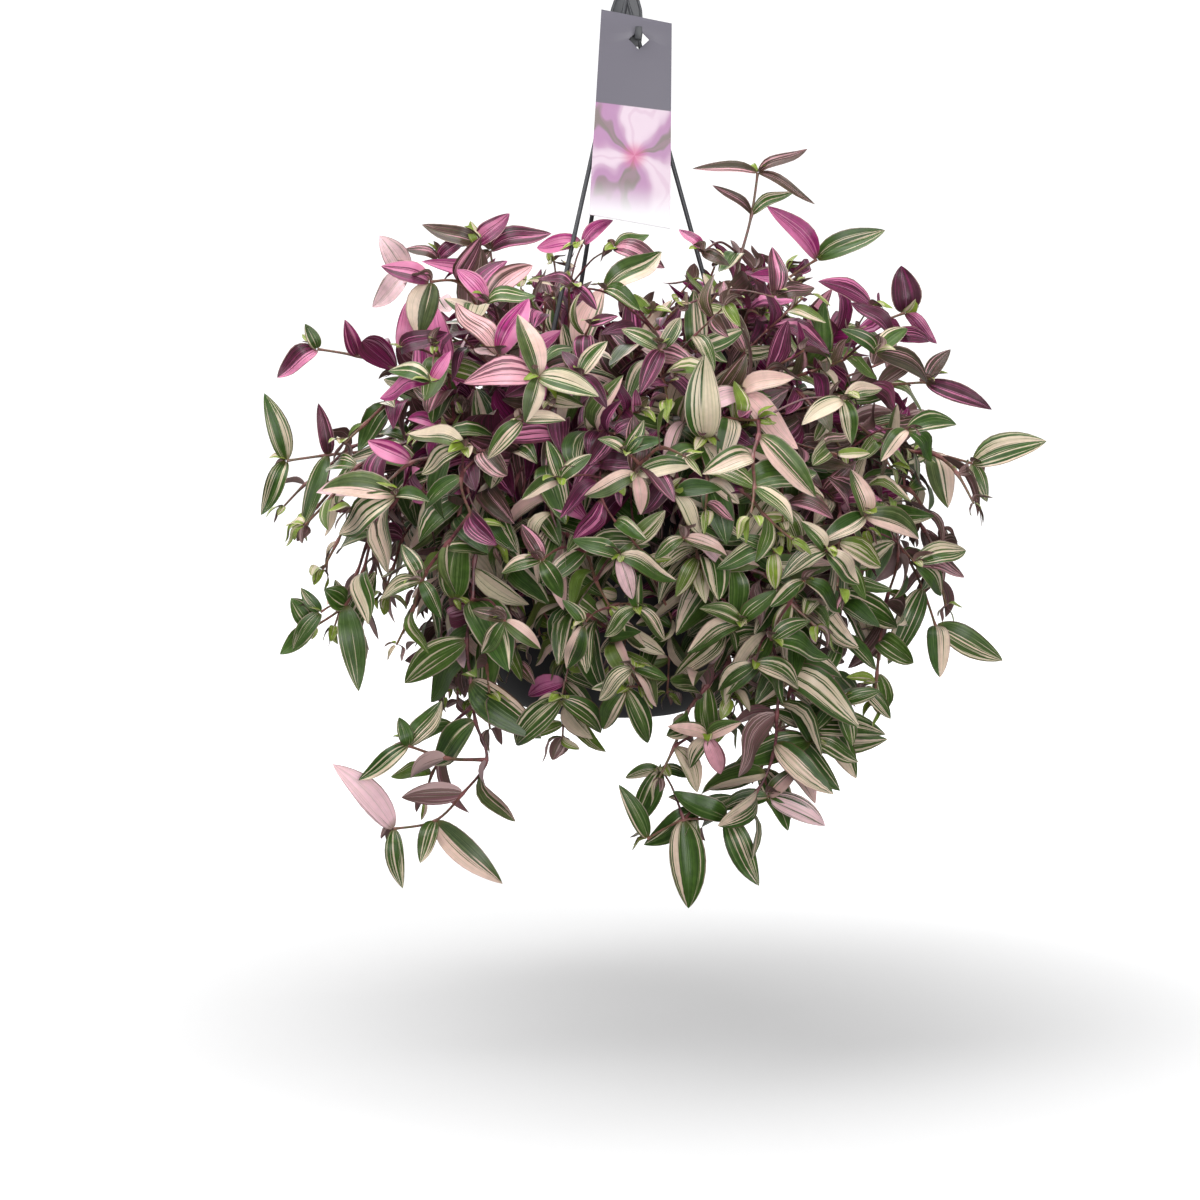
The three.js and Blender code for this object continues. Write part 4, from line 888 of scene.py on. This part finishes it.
# Ends of shoots that point at the front: where each is, and its leaves' kinds and tips, in millimetres
FRONT_TIPS = """
-70 -162 -271  rosy -97 -145 -241  magenta -53 -147 -237  salmon -85 -156 -268
-45 -174 -282  half -59 -158 -246  rosy -90 -161 -288  striped -9 -183 -292  half -52 -181 -309
-54 -180 -308  cream -28 -185 -307  striped -74 -177 -332
-88 -171 -326  half -123 -156 -320  striped -114 -157 -344
-27 -131 -230  maroon -49 -121 -226  maroon -12 -139 -243
-8 -137 -231  striped 26 -119 -207  green 14 -147 -242
-79 -128 -241  green -49 -137 -236  rosy -52 -113 -218  magenta -98 -116 -222
-82 -8 -212  purple -43 -8 -200  bronze -95 -15 -225
-131 -113 -273  magenta -129 -102 -243  maroon -102 -126 -260
-110 -148 -289  magenta -142 -133 -301  magenta -99 -145 -270  striped -137 -135 -284
-23 -43 -206  magenta -4 -33 -190  magenta -52 -30 -209
-3 -64 -207  green 19 -54 -198  bronze 29 -78 -218
-21 -178 -281  striped -5 -168 -260  maroon -4 -185 -299  maroon -32 -170 -267
8 -189 -325  striped 18 -186 -305  green 30 -188 -316  striped -9 -188 -317
15 -190 -337  half -16 -189 -351  half 48 -189 -331  salmon 18 -190 -361
38 -190 -348  cream 55 -189 -373  green 66 -188 -345
6 -189 -386  striped 41 -187 -400  striped -22 -188 -377  salmon 15 -185 -412
44 -189 -374  half 70 -187 -384  striped 27 -189 -387
98 -182 -381  green 64 -187 -392  striped 76 -187 -372  young 100 -178 -404
129 -171 -380  cream 103 -179 -397  half 151 -158 -401  striped 113 -178 -362
117 -174 -399  green 141 -160 -419  striped 97 -177 -415
81 -177 -426  half 49 -172 -446  green 101 -178 -405  striped 55 -183 -417
99 -169 -436  green 136 -152 -448  green 123 -164 -424
18 -184 -418  striped 35 -177 -438  striped -1 -177 -437  striped 19 -188 -397
-14 -179 -429  half -23 -166 -458  striped -27 -182 -414
90 -164 -451  green 109 -148 -478  striped 69 -154 -470  striped 118 -149 -468
17 -168 -455  half 32 -155 -480  cream -3 -155 -477  green 38 -163 -462
-40 -185 -391  striped -64 -178 -401  green -27 -182 -414  bronze -53 -184 -370
-61 -172 -429  striped -75 -160 -451  half -39 -169 -446  bronze -81 -165 -424
160 -100 -474  green 140 -100 -488  striped 179 -100 -492
153 -157 -360  striped 126 -170 -376  half 188 -139 -375  half 143 -163 -332
169 -88 -255  maroon 144 -88 -235  maroon 195 -74 -258
159 -61 -238  purple 124 -76 -223
95 -126 -232  purple 93 -115 -202  bronze 120 -115 -226
158 -122 -264  bronze 192 -102 -282  striped 136 -128 -250  striped 178 -109 -249
179 -124 -310  striped 211 -106 -307  half 163 -134 -329  green 196 -112 -330
137 -159 -291  cream 112 -171 -306  striped 161 -148 -284  striped 143 -162 -317
27 -170 -264  maroon 15 -182 -290  striped 3 -162 -253  striped 38 -161 -245
-160 -62 -451  striped -173 -62 -422  striped -146 -80 -414  striped -159 -62 -486
-180 -62 -441  striped -197 -62 -466  green -193 -62 -426
-113 -151 -409  striped -138 -137 -423  green -100 -151 -432  striped -126 -143 -388
-30 -188 -342  half -53 -184 -355  striped -39 -185 -319  striped -12 -189 -326
-26 -146 -479  striped -53 -126 -512  green -1 -130 -502  half -41 -139 -483
64 -137 -500  salmon 39 -148 -493  rosy 73 -131 -524  striped 54 -131 -521  half 84 -146 -489
130 -100 -507  green 82 -100 -525  green 114 -114 -479  striped 160 -100 -520
122 -100 -499  striped 177 -100 -503  green 155 -100 -480  striped 103 -110 -488
62 -100 -553  striped 42 -100 -546  green 28 -100 -577  striped 83 -100 -544
105 -100 -544  striped 74 -100 -554  salmon 141 -100 -561  half 123 -100 -524  green 118 -100 -565
37 -100 -529  green 22 -100 -566  striped 15 -100 -535  green 56 -100 -533
13 -157 -470  green 28 -138 -506  striped 0 -142 -498  cream -8 -156 -471
148 -100 -481  striped 129 -100 -501  green 171 -100 -473  green 155 -100 -508
52 -70 -208  magenta 37 -62 -194  bronze 69 -78 -215
-115 -8 -219  bronze -137 -8 -213  purple -96 -8 -201
-130 -142 -359  half -177 -118 -359  cream -166 -117 -386  striped -109 -151 -361
189 -109 -393  bronze 222 -90 -403  striped 208 -91 -415  green 222 -91 -386
""".strip().splitlines()
FRONT_EACH = 7
# How far a shoot's end may move in depth, in millimetres, to find room for its leaves
FRONT_SHIFTS = (0, 6, -6, 12, -12, 18)
TWIG_RADIUS, TWIG_STEP = 1.15 * MM, 7 * MM
stem_points = [(n["point"], n["radius"]) for chains in shoots.values() for chain in chains for n in chain]


def front_leaves(node, tips, back, rnd):
    """The leaves round a shoot's end, set back by a distance."""
    shift = Vector((0, back * MM, 0))
    out = []
    for kind, x, y, z in tips:
        tip = Vector((x, y, z)) * MM + shift
        chord = tip - node
        length = chord.length
        face = Vector((rnd.uniform(-0.35, 0.35), -1, 0.55 + rnd.uniform(-0.35, 0.35)))
        lift = chord.cross(face).normalized().cross(chord / length)
        out.append(({
            "root": node.copy(), "tip": tip, "top": lift, "arch": lift * length * rnd.uniform(0.08, 0.16),
            "half": length * rnd.uniform(0.18, 0.235),
        }, kind))
    return out


def front_shoot(build, row, rnd):
    """A twig from the nearest stem of the frame to a shoot's end, with the leaves there."""
    words = row.split()
    node, tips, tries = Vector(map(int, words[:3])) * MM, leaves_in(words[3:], 3), []
    for shift in FRONT_SHIFTS:
        here = node + Vector((0, shift * MM, 0))
        leaves = front_leaves(here, tips, shift, random.Random(shift))
        tries.append((sum(free(leaf, FRONT_GAP) for leaf, _ in leaves), here, leaves))
    _, at, leaves = max(tries, key=lambda one: one[0])
    level = outward(at)
    near = at - level * 12 * MM - UP * 4 * MM
    start, radius = min(stem_points, key=lambda n: (n[0] - near).length)
    middle = start.lerp(at, 0.55) + UP * ((at - start).length * 0.12)
    line = [p for p, _ in smooth_line([start, middle, at], TWIG_STEP)]
    last = len(line) - 1
    radius = min(radius, TWIG_RADIUS)
    add_stem(build, [{"point": p, "radius": radius * (1 - 0.3 * i / last), "joint": i in (0, last)}
                     for i, p in enumerate(line)])
    occupy(line)
    for leaf, kind in leaves:
        occupy(samples(leaf))
        add_leaf(build, leaf, looks_of(kind, rnd), rnd)
    add_bud(build, at, (level + UP * 0.4).normalized(), rnd)


for group in range(0, len(FRONT_TIPS), FRONT_EACH):
    build = Build()
    rnd = random.Random(FRONT_SEED + group)
    for row in FRONT_TIPS[group:group + FRONT_EACH]:
        front_shoot(build, row, rnd)
    build.piece(f"front_shoots_{group // FRONT_EACH + 1:02d}")

for index, (name, chains) in enumerate(shoots.items()):
    build = Build()
    rnd = random.Random(SHOOT_SEED + index)
    slot = slots[name]
    for chain in chains:
        add_stem(build, chain)
        for i, node in enumerate(chain):
            rank = len(chain) - 1 - i
            for leaf in node["leaves"]:
                add_leaf(build, leaf, featured(name, leaf, slot, rank, rnd), rnd)
    for chain in chains:
        grow_between(build, name, chain, slot, rnd)
        end = chain[-1]["point"]
        add_bud(build, end, (end - chain[-2]["point"]).normalized(), rnd)
    build.piece("leafy_" + name, [name])

# ---- more shoots between them

GOLDEN = math.radians(137.508)
FILL_GROUPS, FILL_EACH = 12, 8
CURTAIN_GROUPS, CURTAIN_EACH = 6, 7
BARE_CORE, BUD_CHANCE, LEAST_REACH = 0.45, 0.6, 0.114
# The highest level of a shoot's end in the crown, from 1 to -1, how far the levels go down from it, the
# level above which a shoot goes straight to its end, and the level below which it hangs
LEVEL_TOP, LEVEL_SPAN, UPRIGHT, HANGING = 0.93, 1.78, 0.3, -0.15


def over_rim(turn, root_radius, rnd):
    """The start of a shoot: up out of the soil and over the pot's rim."""
    way = Vector((math.cos(turn), math.sin(turn), 0))
    root = way * (root_radius * MM) + UP * ((SOIL_Z - 8) * MM)
    crest = way * (rnd.uniform(106, 113) * MM) + UP * ((RIM_Z + rnd.uniform(8, 40)) * MM)
    return way, [root, root + UP * 0.012], crest


def leafy_way(build, way, step, size, apart, rnd, low_hanging=False):
    """A stem along a way, with pairs of leaves, one larger, where they find room."""
    line = [p for p, _ in smooth_line(way, step)]
    add_stem(build, [{"point": p, "radius": (1.1 - 0.5 * i / len(line)) * MM, "joint": i > 0}
                     for i, p in enumerate(line)])
    tint = rnd.choice(("foliage_green", "foliage_green", "foliage_green", "foliage_pink"))
    last = len(line) - 1
    hand = 1
    for i in range(2, last + 1):
        p = line[i]
        if outness(p) < BARE_CORE and p.z > RIM_Z * MM:
            continue
        along = (line[min(i + 1, last)] - line[i - 1]).normalized()
        out = (p - CROWN).normalized()
        aside = along.cross(out)
        if aside.length < 0.05:
            aside = along.orthogonal()
        aside.normalize()
        hand = -hand
        rank = last - i
        for which, share in ((hand, 1), (-hand, 0.8)):
            sides = (Matrix.Rotation(rnd.uniform(-0.15, 0.15) * i * 2, 3, along) @ (aside * which)
                     for i in range(8))
            add_extra(build, (p, along, out), sides, size * grown(rank) * share, apart, low_hanging, tint,
                      rank, rnd)
    if rnd.random() < BUD_CHANCE:
        add_bud(build, line[last], (line[last] - line[last - 1]).normalized(), rnd)


def fill_shoot(build, number, rnd):
    """A shoot from the soil that fills the crown or, at a low level, arches over the rim and hangs."""
    level = LEVEL_TOP - LEVEL_SPAN * (number + 0.5) / (FILL_GROUPS * FILL_EACH)
    turn = 0.4 + number * GOLDEN
    round_ = math.sqrt(1 - level * level)
    reach = rnd.uniform(0.74, 0.95) if level < 0.4 else rnd.uniform(0.82, 1.04)
    wide, deep = ACROSS * round_ * reach, DEEP * round_ * reach
    if level < 0:
        wide, deep = max(wide, LEAST_REACH), max(deep, LEAST_REACH)
    rise = (1 - round_ ** SQUARE) ** (1 / SQUARE)
    tip = CROWN + Vector((
        wide * math.cos(turn), deep * math.sin(turn), (TALL * rise if level > 0 else LOW * level) * reach,
    ))
    root_radius = rnd.uniform(8, 62)
    heading, way, crest = over_rim(turn, root_radius, rnd)
    tip_radius = math.hypot(tip.x, tip.y)
    if level > UPRIGHT:
        middle = heading * ((root_radius * MM + tip_radius) / 2)
        way.append(middle + UP * ((way[0].z + tip.z) / 2 + 0.02))
    else:
        way.append(crest)
        if level < HANGING:
            out = tip_radius + rnd.uniform(0.004, 0.02)
            way.append(heading * out + UP * (crest.z * 0.55 + tip.z * 0.45))
    way.append(tip)
    leafy_way(build, way, 18 * MM, EXTRA_SIZE, (5.5 if level > UPRIGHT else 4.2) * MM, rnd)


def curtain_shoot(build, number, rnd):
    """A shoot that hangs down close to the pot's wall."""
    turn = 0.9 + number * GOLDEN
    heading, way, crest = over_rim(turn, rnd.uniform(50, 76), rnd)
    low = rnd.uniform(-522, -415)
    near = wall(max(low, FOOT_Z)) + rnd.uniform(12, 26)
    aside = Vector((-heading.y, heading.x, 0)) * (rnd.uniform(-45, 45) * MM)
    way += [crest, heading * (rnd.uniform(108, 116) * MM) + UP * ((RIM_Z - 26) * MM) + aside * 0.4,
            heading * (near * MM) + UP * (low * MM) + aside]
    leafy_way(build, way, 15 * MM, 0.88 * EXTRA_SIZE, 3.8 * MM, rnd, low_hanging=True)


made = 0
for grow, groups, each in (
    (fill_shoot, FILL_GROUPS, FILL_EACH), (curtain_shoot, CURTAIN_GROUPS, CURTAIN_EACH),
):
    for group in range(groups):
        made += 1
        build = Build()
        rnd = random.Random(MORE_SEED + made)
        for place in range(each):
            grow(build, place * groups + group, rnd)
        build.piece(f"more_shoots_{made:02d}")

# ---- pot and soil

ROUND, FLAT_FOOT, POT_THICK = 96, 50, 1.8


def lathe(name, outline):
    """A body of revolution from an outline of (radius, z) in millimetres."""
    bm = bmesh.new()
    turns = [2 * math.pi * k / ROUND for k in range(ROUND)]
    rings = [[bm.verts.new((r * MM * math.cos(a), r * MM * math.sin(a), z * MM))
              for a in (turns if r else turns[:1])] for r, z in outline]
    for a, b in zip(rings, rings[1:]):
        for k in range(ROUND):
            m = (k + 1) % ROUND
            if len(a) == 1:
                bm.faces.new((a[0], b[k], b[m]))
            elif len(b) == 1:
                bm.faces.new((a[k], b[0], a[m]))
            else:
                bm.faces.new((a[k], b[k], b[m], a[m]))
    bmesh.ops.recalc_face_normals(bm, faces=bm.faces)
    return mesh_of(name, bm)


def quarter(inset, steps=9):
    """The pot's rounded foot, set in from its outer face."""
    wide, tall = WALL_LOW - FLAT_FOOT - inset, FOOT_Z - BASE_Z - inset
    turns = [i / steps * math.pi / 2 for i in range(steps + 1)]
    return [(FLAT_FOOT + wide * math.sin(a), FOOT_Z - tall * math.cos(a)) for a in turns]


def rod(bm, matrix, radius, depth, sides):
    bmesh.ops.create_cone(bm, cap_ends=True, segments=sides, radius1=radius, radius2=radius, depth=depth,
                          matrix=matrix)


def box(bm, matrix, size):
    return bmesh.ops.create_cube(bm, size=1, matrix=matrix @ Matrix.Diagonal((*size, 1)))["verts"]


def settled(thing):
    """The mesh that an object comes to, in place of the object."""
    mesh = bpy.data.meshes.new_from_object(thing.evaluated_get(bpy.context.evaluated_depsgraph_get()))
    bpy.data.objects.remove(thing)
    return mesh


# The rolled rim, with small rounds on its edges
LIP = [
    (wall(-359.8), -359.8), (97.2, -359.8), (97.9, -360.4), (98.2, -361.2), (98.2, -365.4), (98.6, -366),
    (99.5, -366), (99.95, -365.4), (100, -364.6), (100, -358.6), (99.6, -357.4), (98.8, -357),
    (92.4, -357), (91.5, -357.3), (91.2, -358.2),
]
DRAINS, DRAIN_WAY, DRAIN_RADIUS, TAB_WAY = 4, 0.034, 0.004, 0.096


def pot_mesh():
    """The pot's shell, with its drain holes and the slots for the hanger's tabs."""
    inside = [*reversed(quarter(POT_THICK)), (0, BASE_Z + POT_THICK)]
    shell = shown("shell", lathe("pot_shell", [(0, BASE_Z), *quarter(0), *LIP, *inside]))
    bm = bmesh.new()
    for i in range(DRAINS):
        a = math.radians(45 + 90 * i)
        place = Matrix.Translation((DRAIN_WAY * math.cos(a), DRAIN_WAY * math.sin(a), BASE_Z * MM))
        rod(bm, place, DRAIN_RADIUS, 0.02, 24)
    for degrees in ARM_TURNS:
        turn = Matrix.Rotation(math.radians(degrees), 4, "Z")
        box(bm, turn @ Matrix.Translation((TAB_WAY, 0, -0.3585)), (0.003, 0.0074, 0.006))
    cutter = shown("cutter", mesh_of("cutter", bm))
    modifier = shell.modifiers.new("cut", "BOOLEAN")
    modifier.operation, modifier.object, modifier.solver = "DIFFERENCE", cutter, "EXACT"
    mesh = settled(shell)
    bpy.data.objects.remove(cutter)
    return mesh


pot_material = moulded("pot_plastic", (0.020, 0.020, 0.023), (0.030, 0.030, 0.034), 0.42)
add_piece("pot_shell", pot_mesh(), [pot_material], ["pot"], 30)

SOIL_WAY, SOIL_RISE, SOIL_IN = 88.5, 4, 2.1
SOIL_RINGS, CRUMBS = 12, 420


def soil_height(r):
    return SOIL_Z + SOIL_RISE * (1 - r / SOIL_WAY)


def soil_mesh():
    """The soil's filled body with a lumpy top, and loose crumbs on it."""
    rnd = random.Random(SOIL_SEED)
    top = [SOIL_WAY * (1 - i / SOIL_RINGS) for i in range(1, SOIL_RINGS)]
    body = lathe("potting_soil", [(0, BASE_Z + SOIL_IN), *quarter(SOIL_IN), (wall(SOIL_Z) - SOIL_IN, SOIL_Z),
                                  *((r, soil_height(r)) for r in top), (0, SOIL_Z + SOIL_RISE)])
    bm = bmesh.new()
    bm.from_mesh(body)
    for v in bm.verts:
        if v.co.z > (SOIL_Z - 0.5) * MM and math.hypot(v.co.x, v.co.y) < 0.087:
            v.co.z += rnd.uniform(-1.2, 1.6) * MM
    for _ in range(CRUMBS):
        a, r = rnd.uniform(0, 6.283), 84 * math.sqrt(rnd.random())
        size = rnd.uniform(0.8, 2.6) * MM
        place = Matrix.Translation((r * MM * math.cos(a), r * MM * math.sin(a), (soil_height(r) + 0.6) * MM))
        squash = Matrix.Diagonal((rnd.uniform(0.7, 1.3), rnd.uniform(0.7, 1.3), rnd.uniform(0.6, 1), 1))
        spin = Matrix.Rotation(rnd.uniform(0, 3), 4, (rnd.random() + 0.1, rnd.random(), rnd.random()))
        bmesh.ops.create_icosphere(bm, subdivisions=1, radius=size, matrix=place @ spin @ squash)
    bm.to_mesh(body)
    bm.free()
    return body


add_piece("potting_soil", soil_mesh(), [crumbly()], ["soil"], 60)

# ---- hanger and label

hanger_material = moulded("hanger_plastic", (0.040, 0.042, 0.048), (0.060, 0.062, 0.070), 0.36)


def outline_mesh(name, outlines, depth, bevel):
    """A flat shape in x and z with rounded edges, in millimetres."""
    curve = bpy.data.curves.new(name, "CURVE")
    curve.dimensions = "2D"
    curve.fill_mode = "BOTH"
    curve.extrude = depth * MM / 2 - bevel * MM
    curve.bevel_depth = bevel * MM
    curve.offset = -bevel * MM
    curve.bevel_resolution = 2
    for outline in outlines:
        spline = curve.splines.new("POLY")
        spline.points.add(len(outline) - 1)
        for point, (x, z) in zip(spline.points, outline):
            point.co = (x * MM, z * MM, 0, 1)
        spline.use_cyclic_u = True
    mesh = settled(shown(name, curve))
    bm = bmesh.new()
    bm.from_mesh(mesh)
    bmesh.ops.remove_doubles(bm, verts=bm.verts, dist=1e-6)
    bm.to_mesh(mesh)
    bm.free()
    mesh.transform(Matrix.Rotation(math.pi / 2, 4, "X"))
    return mesh


def tube(bm, start, end, radius, sides=14):
    """A round rod from start to end."""
    way = end - start
    turn = way.to_track_quat("Z", "Y").to_matrix().to_4x4()
    rod(bm, Matrix.Translation((start + end) / 2) @ turn, radius, way.length, sides)


def rounded_box(bm, matrix, size):
    edges = list(dict.fromkeys(e for v in box(bm, matrix, size) for e in v.link_edges))
    bmesh.ops.bevel(bm, geom=edges, offset=min(size) * 0.2, segments=2, profile=0.5, affect="EDGES")


# The right half of the head plate, from the hook down, and the width of its raised border
PLATE = [(3, -21), (4.2, -34), (6.3, -45), (10, -57), (11, -68), (10, -80)]
BORDER = 1.8
HOOK_CENTRE, HOOK_TURN, HOOK_STEPS = -9, 305, 40


def hanger_mesh():
    hook = []
    for radius, first, turn in ((14, -90, HOOK_TURN), (9, HOOK_TURN - 90, -HOOK_TURN)):
        for i in range(HOOK_STEPS + 1):
            a = math.radians(first + turn * i / HOOK_STEPS)
            hook.append((radius * math.cos(a), HOOK_CENTRE + radius * math.sin(a)))
    inner = [(x - BORDER, z) for x, z in PLATE[1:-1]]
    plate, inner = (half + [(-x, z) for x, z in reversed(half)] for half in (PLATE, inner))
    bm = bmesh.new()
    for name, outlines, depth, bevel in (
        ("hook", [hook], 5, 0.9), ("plate", [plate], 2.4, 0.4), ("rib", [plate, inner], 4.2, 0.5),
    ):
        bm.from_mesh(outline_mesh(name, outlines, depth, bevel))
    for degrees in ARM_TURNS:
        a = math.radians(degrees)
        way = Vector((math.cos(a), math.sin(a), 0))
        start, end = (way * (r * MM) + UP * (z * MM) for r, z in (ARM_TOP, ARM_END))
        tube(bm, start, end, 1.45 * MM)
        turn = Matrix.Rotation(a, 4, "Z")
        for z, size in ((RIM_Z + 3.45, (0.002, 0.006, 0.0111)), (RIM_Z - 3.1, (0.002, 0.010, 0.002))):
            rounded_box(bm, turn @ Matrix.Translation((TAB_WAY, 0, z * MM)), size)
    peg = Vector((8, 0, -73.8)) * MM
    tube(bm, peg + Vector((0, 0.001, 0)), peg + Vector((0, -0.0155, 0)), 2.2 * MM, 20)
    rounded_box(bm, Matrix.Translation((0.008, -0.015, -0.0718)), (0.0044, 0.002, 0.008))
    return mesh_of("hanger_moulding", bm)


add_piece("hanger_moulding", hanger_mesh(), [hanger_material], ["hanger"], 40)

# The label's corners in x and z, and its hole: x, z and half its width
TAG_CORNERS = [(-16, -57), (29, -64.7), (32, -198), (-19.5, -190.5)]
TAG_HOLE = (8.5, -76, 6.5)
TAG_Y, TAG_TILT, TAG_THICK = -11, -14.5, 0.8
PETAL_HEART = (8.0, -149.0)


def tag_print():
    """The label's print: plain dark grey above, soft generic petals in pink and green below."""
    t = material("label_print")
    x, y, z = t.parts(t.place())
    x = t.times(x, 1000.0)
    z = t.times(z, 1000.0)
    down = t.math("SUBTRACT", t.line(x, -0.09, -117.5), z)
    where = t.vector(t.times(x, 0.04), t.times(z, 0.025), 3.7)
    warp = t.noise(where, 1.0, 2.0)
    aside = t.math("SUBTRACT", x, PETAL_HEART[0])
    below = t.math("SUBTRACT", z, PETAL_HEART[1])
    turn = t.line(t.math("ARCTAN2", below, aside), 3.0, t.times(warp, 7.0))
    away = t.far(aside, below)
    petals = t.math("SINE", turn)
    soft = t.mix(t.step(petals, -0.6, 0.8), (0.40, 0.22, 0.37), (0.64, 0.52, 0.60))
    soft = t.mix(t.times(t.step(petals, -0.80, -0.97), 0.7), soft, (0.14, 0.16, 0.09))
    folds = t.math("SINE", t.total((turn, 4.0), (away, 0.10)))
    soft = t.mix(t.times(t.step(folds, 0.4, 1.0), 0.22), soft, (0.42, 0.20, 0.35))
    soft = t.mix(t.times(t.step(away, 11.0, 1.0), 0.8), soft, (0.52, 0.12, 0.24))
    soft = t.mix(t.step(down, 46.0, 72.0), soft, (0.76, 0.74, 0.77))
    colour = t.mix(t.step(down, 0.0, 0.6), (0.135, 0.127, 0.155), soft)
    t.bump(t.grain(700.0), 0.1, 0.0003)
    return t.finish(Base_Color=colour, Roughness=t.total((warp, 0.06), (0.30, 1.0)))


def walked(corners, counts):
    """Points along a closed outline, a count of them on each side."""
    corners = [Vector(c) for c in corners]
    sides = zip(corners, corners[1:] + corners[:1], counts)
    return [a.lerp(b, i / count) for a, b, count in sides for i in range(count)]


def tag_mesh():
    """A thin card with a diamond hole."""
    x, z, half = TAG_HOLE
    hole = [(x - half, z), (x, z - half), (x + half, z), (x, z + half)]
    outlines = [walked(TAG_CORNERS, (6, 16, 6, 16)), walked(hole, (3, 3, 3, 3))]
    mesh = outline_mesh("hang_label", outlines, TAG_THICK, 0.12)
    tilt = Matrix.Rotation(math.radians(TAG_TILT), 4, "X")
    mesh.transform(Matrix.Translation((0, TAG_Y * MM, z * MM)) @ tilt @ Matrix.Translation((0, 0, -z * MM)))
    return mesh


add_piece("hang_label", tag_mesh(), [tag_print()], ["tag"], 30)

# ---- floor, backdrop and light

FLOOR_Z = -0.715
FLAT_REACH, SWEEP, BACKDROP_TOP = 2.8, 1.4, 5.0
SWEEP_STEPS = 12


def stage_sheet():
    """A pale round floor that curves up into a backdrop all round."""
    section = [(0.0, FLOOR_Z), (0.7, FLOOR_Z), (FLAT_REACH, FLOOR_Z)]
    for i in range(1, SWEEP_STEPS + 1):
        a = i / SWEEP_STEPS * math.pi / 2
        section.append((FLAT_REACH + SWEEP * math.sin(a), FLOOR_Z + SWEEP * (1 - math.cos(a))))
    section.append((FLAT_REACH + SWEEP, BACKDROP_TOP))
    mesh = lathe("studio_floor", [(r / MM, z / MM) for r, z in section])
    t = material("pale_floor")
    x, y, _ = t.parts(t.place())
    colour = t.mix(t.grain(0.7, 2.0), (0.51, 0.51, 0.515), (0.54, 0.54, 0.54))
    glow = t.line(t.step(t.far(x, y), 0.22, 0.9), 0.60, 0.20)
    mesh.materials.append(t.finish(Base_Color=colour, Roughness=0.9, Emission_Color=(1.0, 1.0, 1.0),
                                   Emission_Strength=glow))
    mesh.polygons.foreach_set("use_smooth", [True] * len(mesh.polygons))
    made = shown("studio_floor", mesh)
    made.visible_diffuse = False
    made.visible_glossy = False


stage_sheet()


def area_light(name, at, aim, wide, deep, power):
    light = bpy.data.lights.new(name, "AREA")
    light.shape = "RECTANGLE"
    light.size, light.size_y = wide, deep
    light.energy = power
    made = shown(name, light)
    made.visible_camera = False
    made.location = at
    made.rotation_euler = (Vector(aim) - Vector(at)).to_track_quat("-Z", "Y").to_euler()


def studio_world():
    """Soft light from all round, strongest from above and weak from below."""
    world = bpy.data.worlds.new("studio")
    bpy.context.scene.world = world
    t = Tree(world, "Background")
    height = t.parts(t.place("Generated"))[2]
    ins = {0: height, 1: -0.4, 2: 0.6, 3: 0.22, 4: 0.54}
    glow = t.add("ShaderNodeMapRange", ins, interpolation_type="SMOOTHSTEP")
    t.finish(Color=(1.0, 1.0, 1.0), Strength=glow)


area_light("key", (-0.58, -0.35, 1.5), (0, 0, -0.5), 0.9, 3.2, 56)
area_light("front", (0.5, -2.5, 0.1), (0, 0, -0.42), 1.4, 1.4, 42)
area_light("back", (-0.6, 2.4, 0.7), (0, 0, -0.4), 1.6, 1.6, 20)
studio_world()
bpy.context.scene.view_settings.view_transform = "Standard"
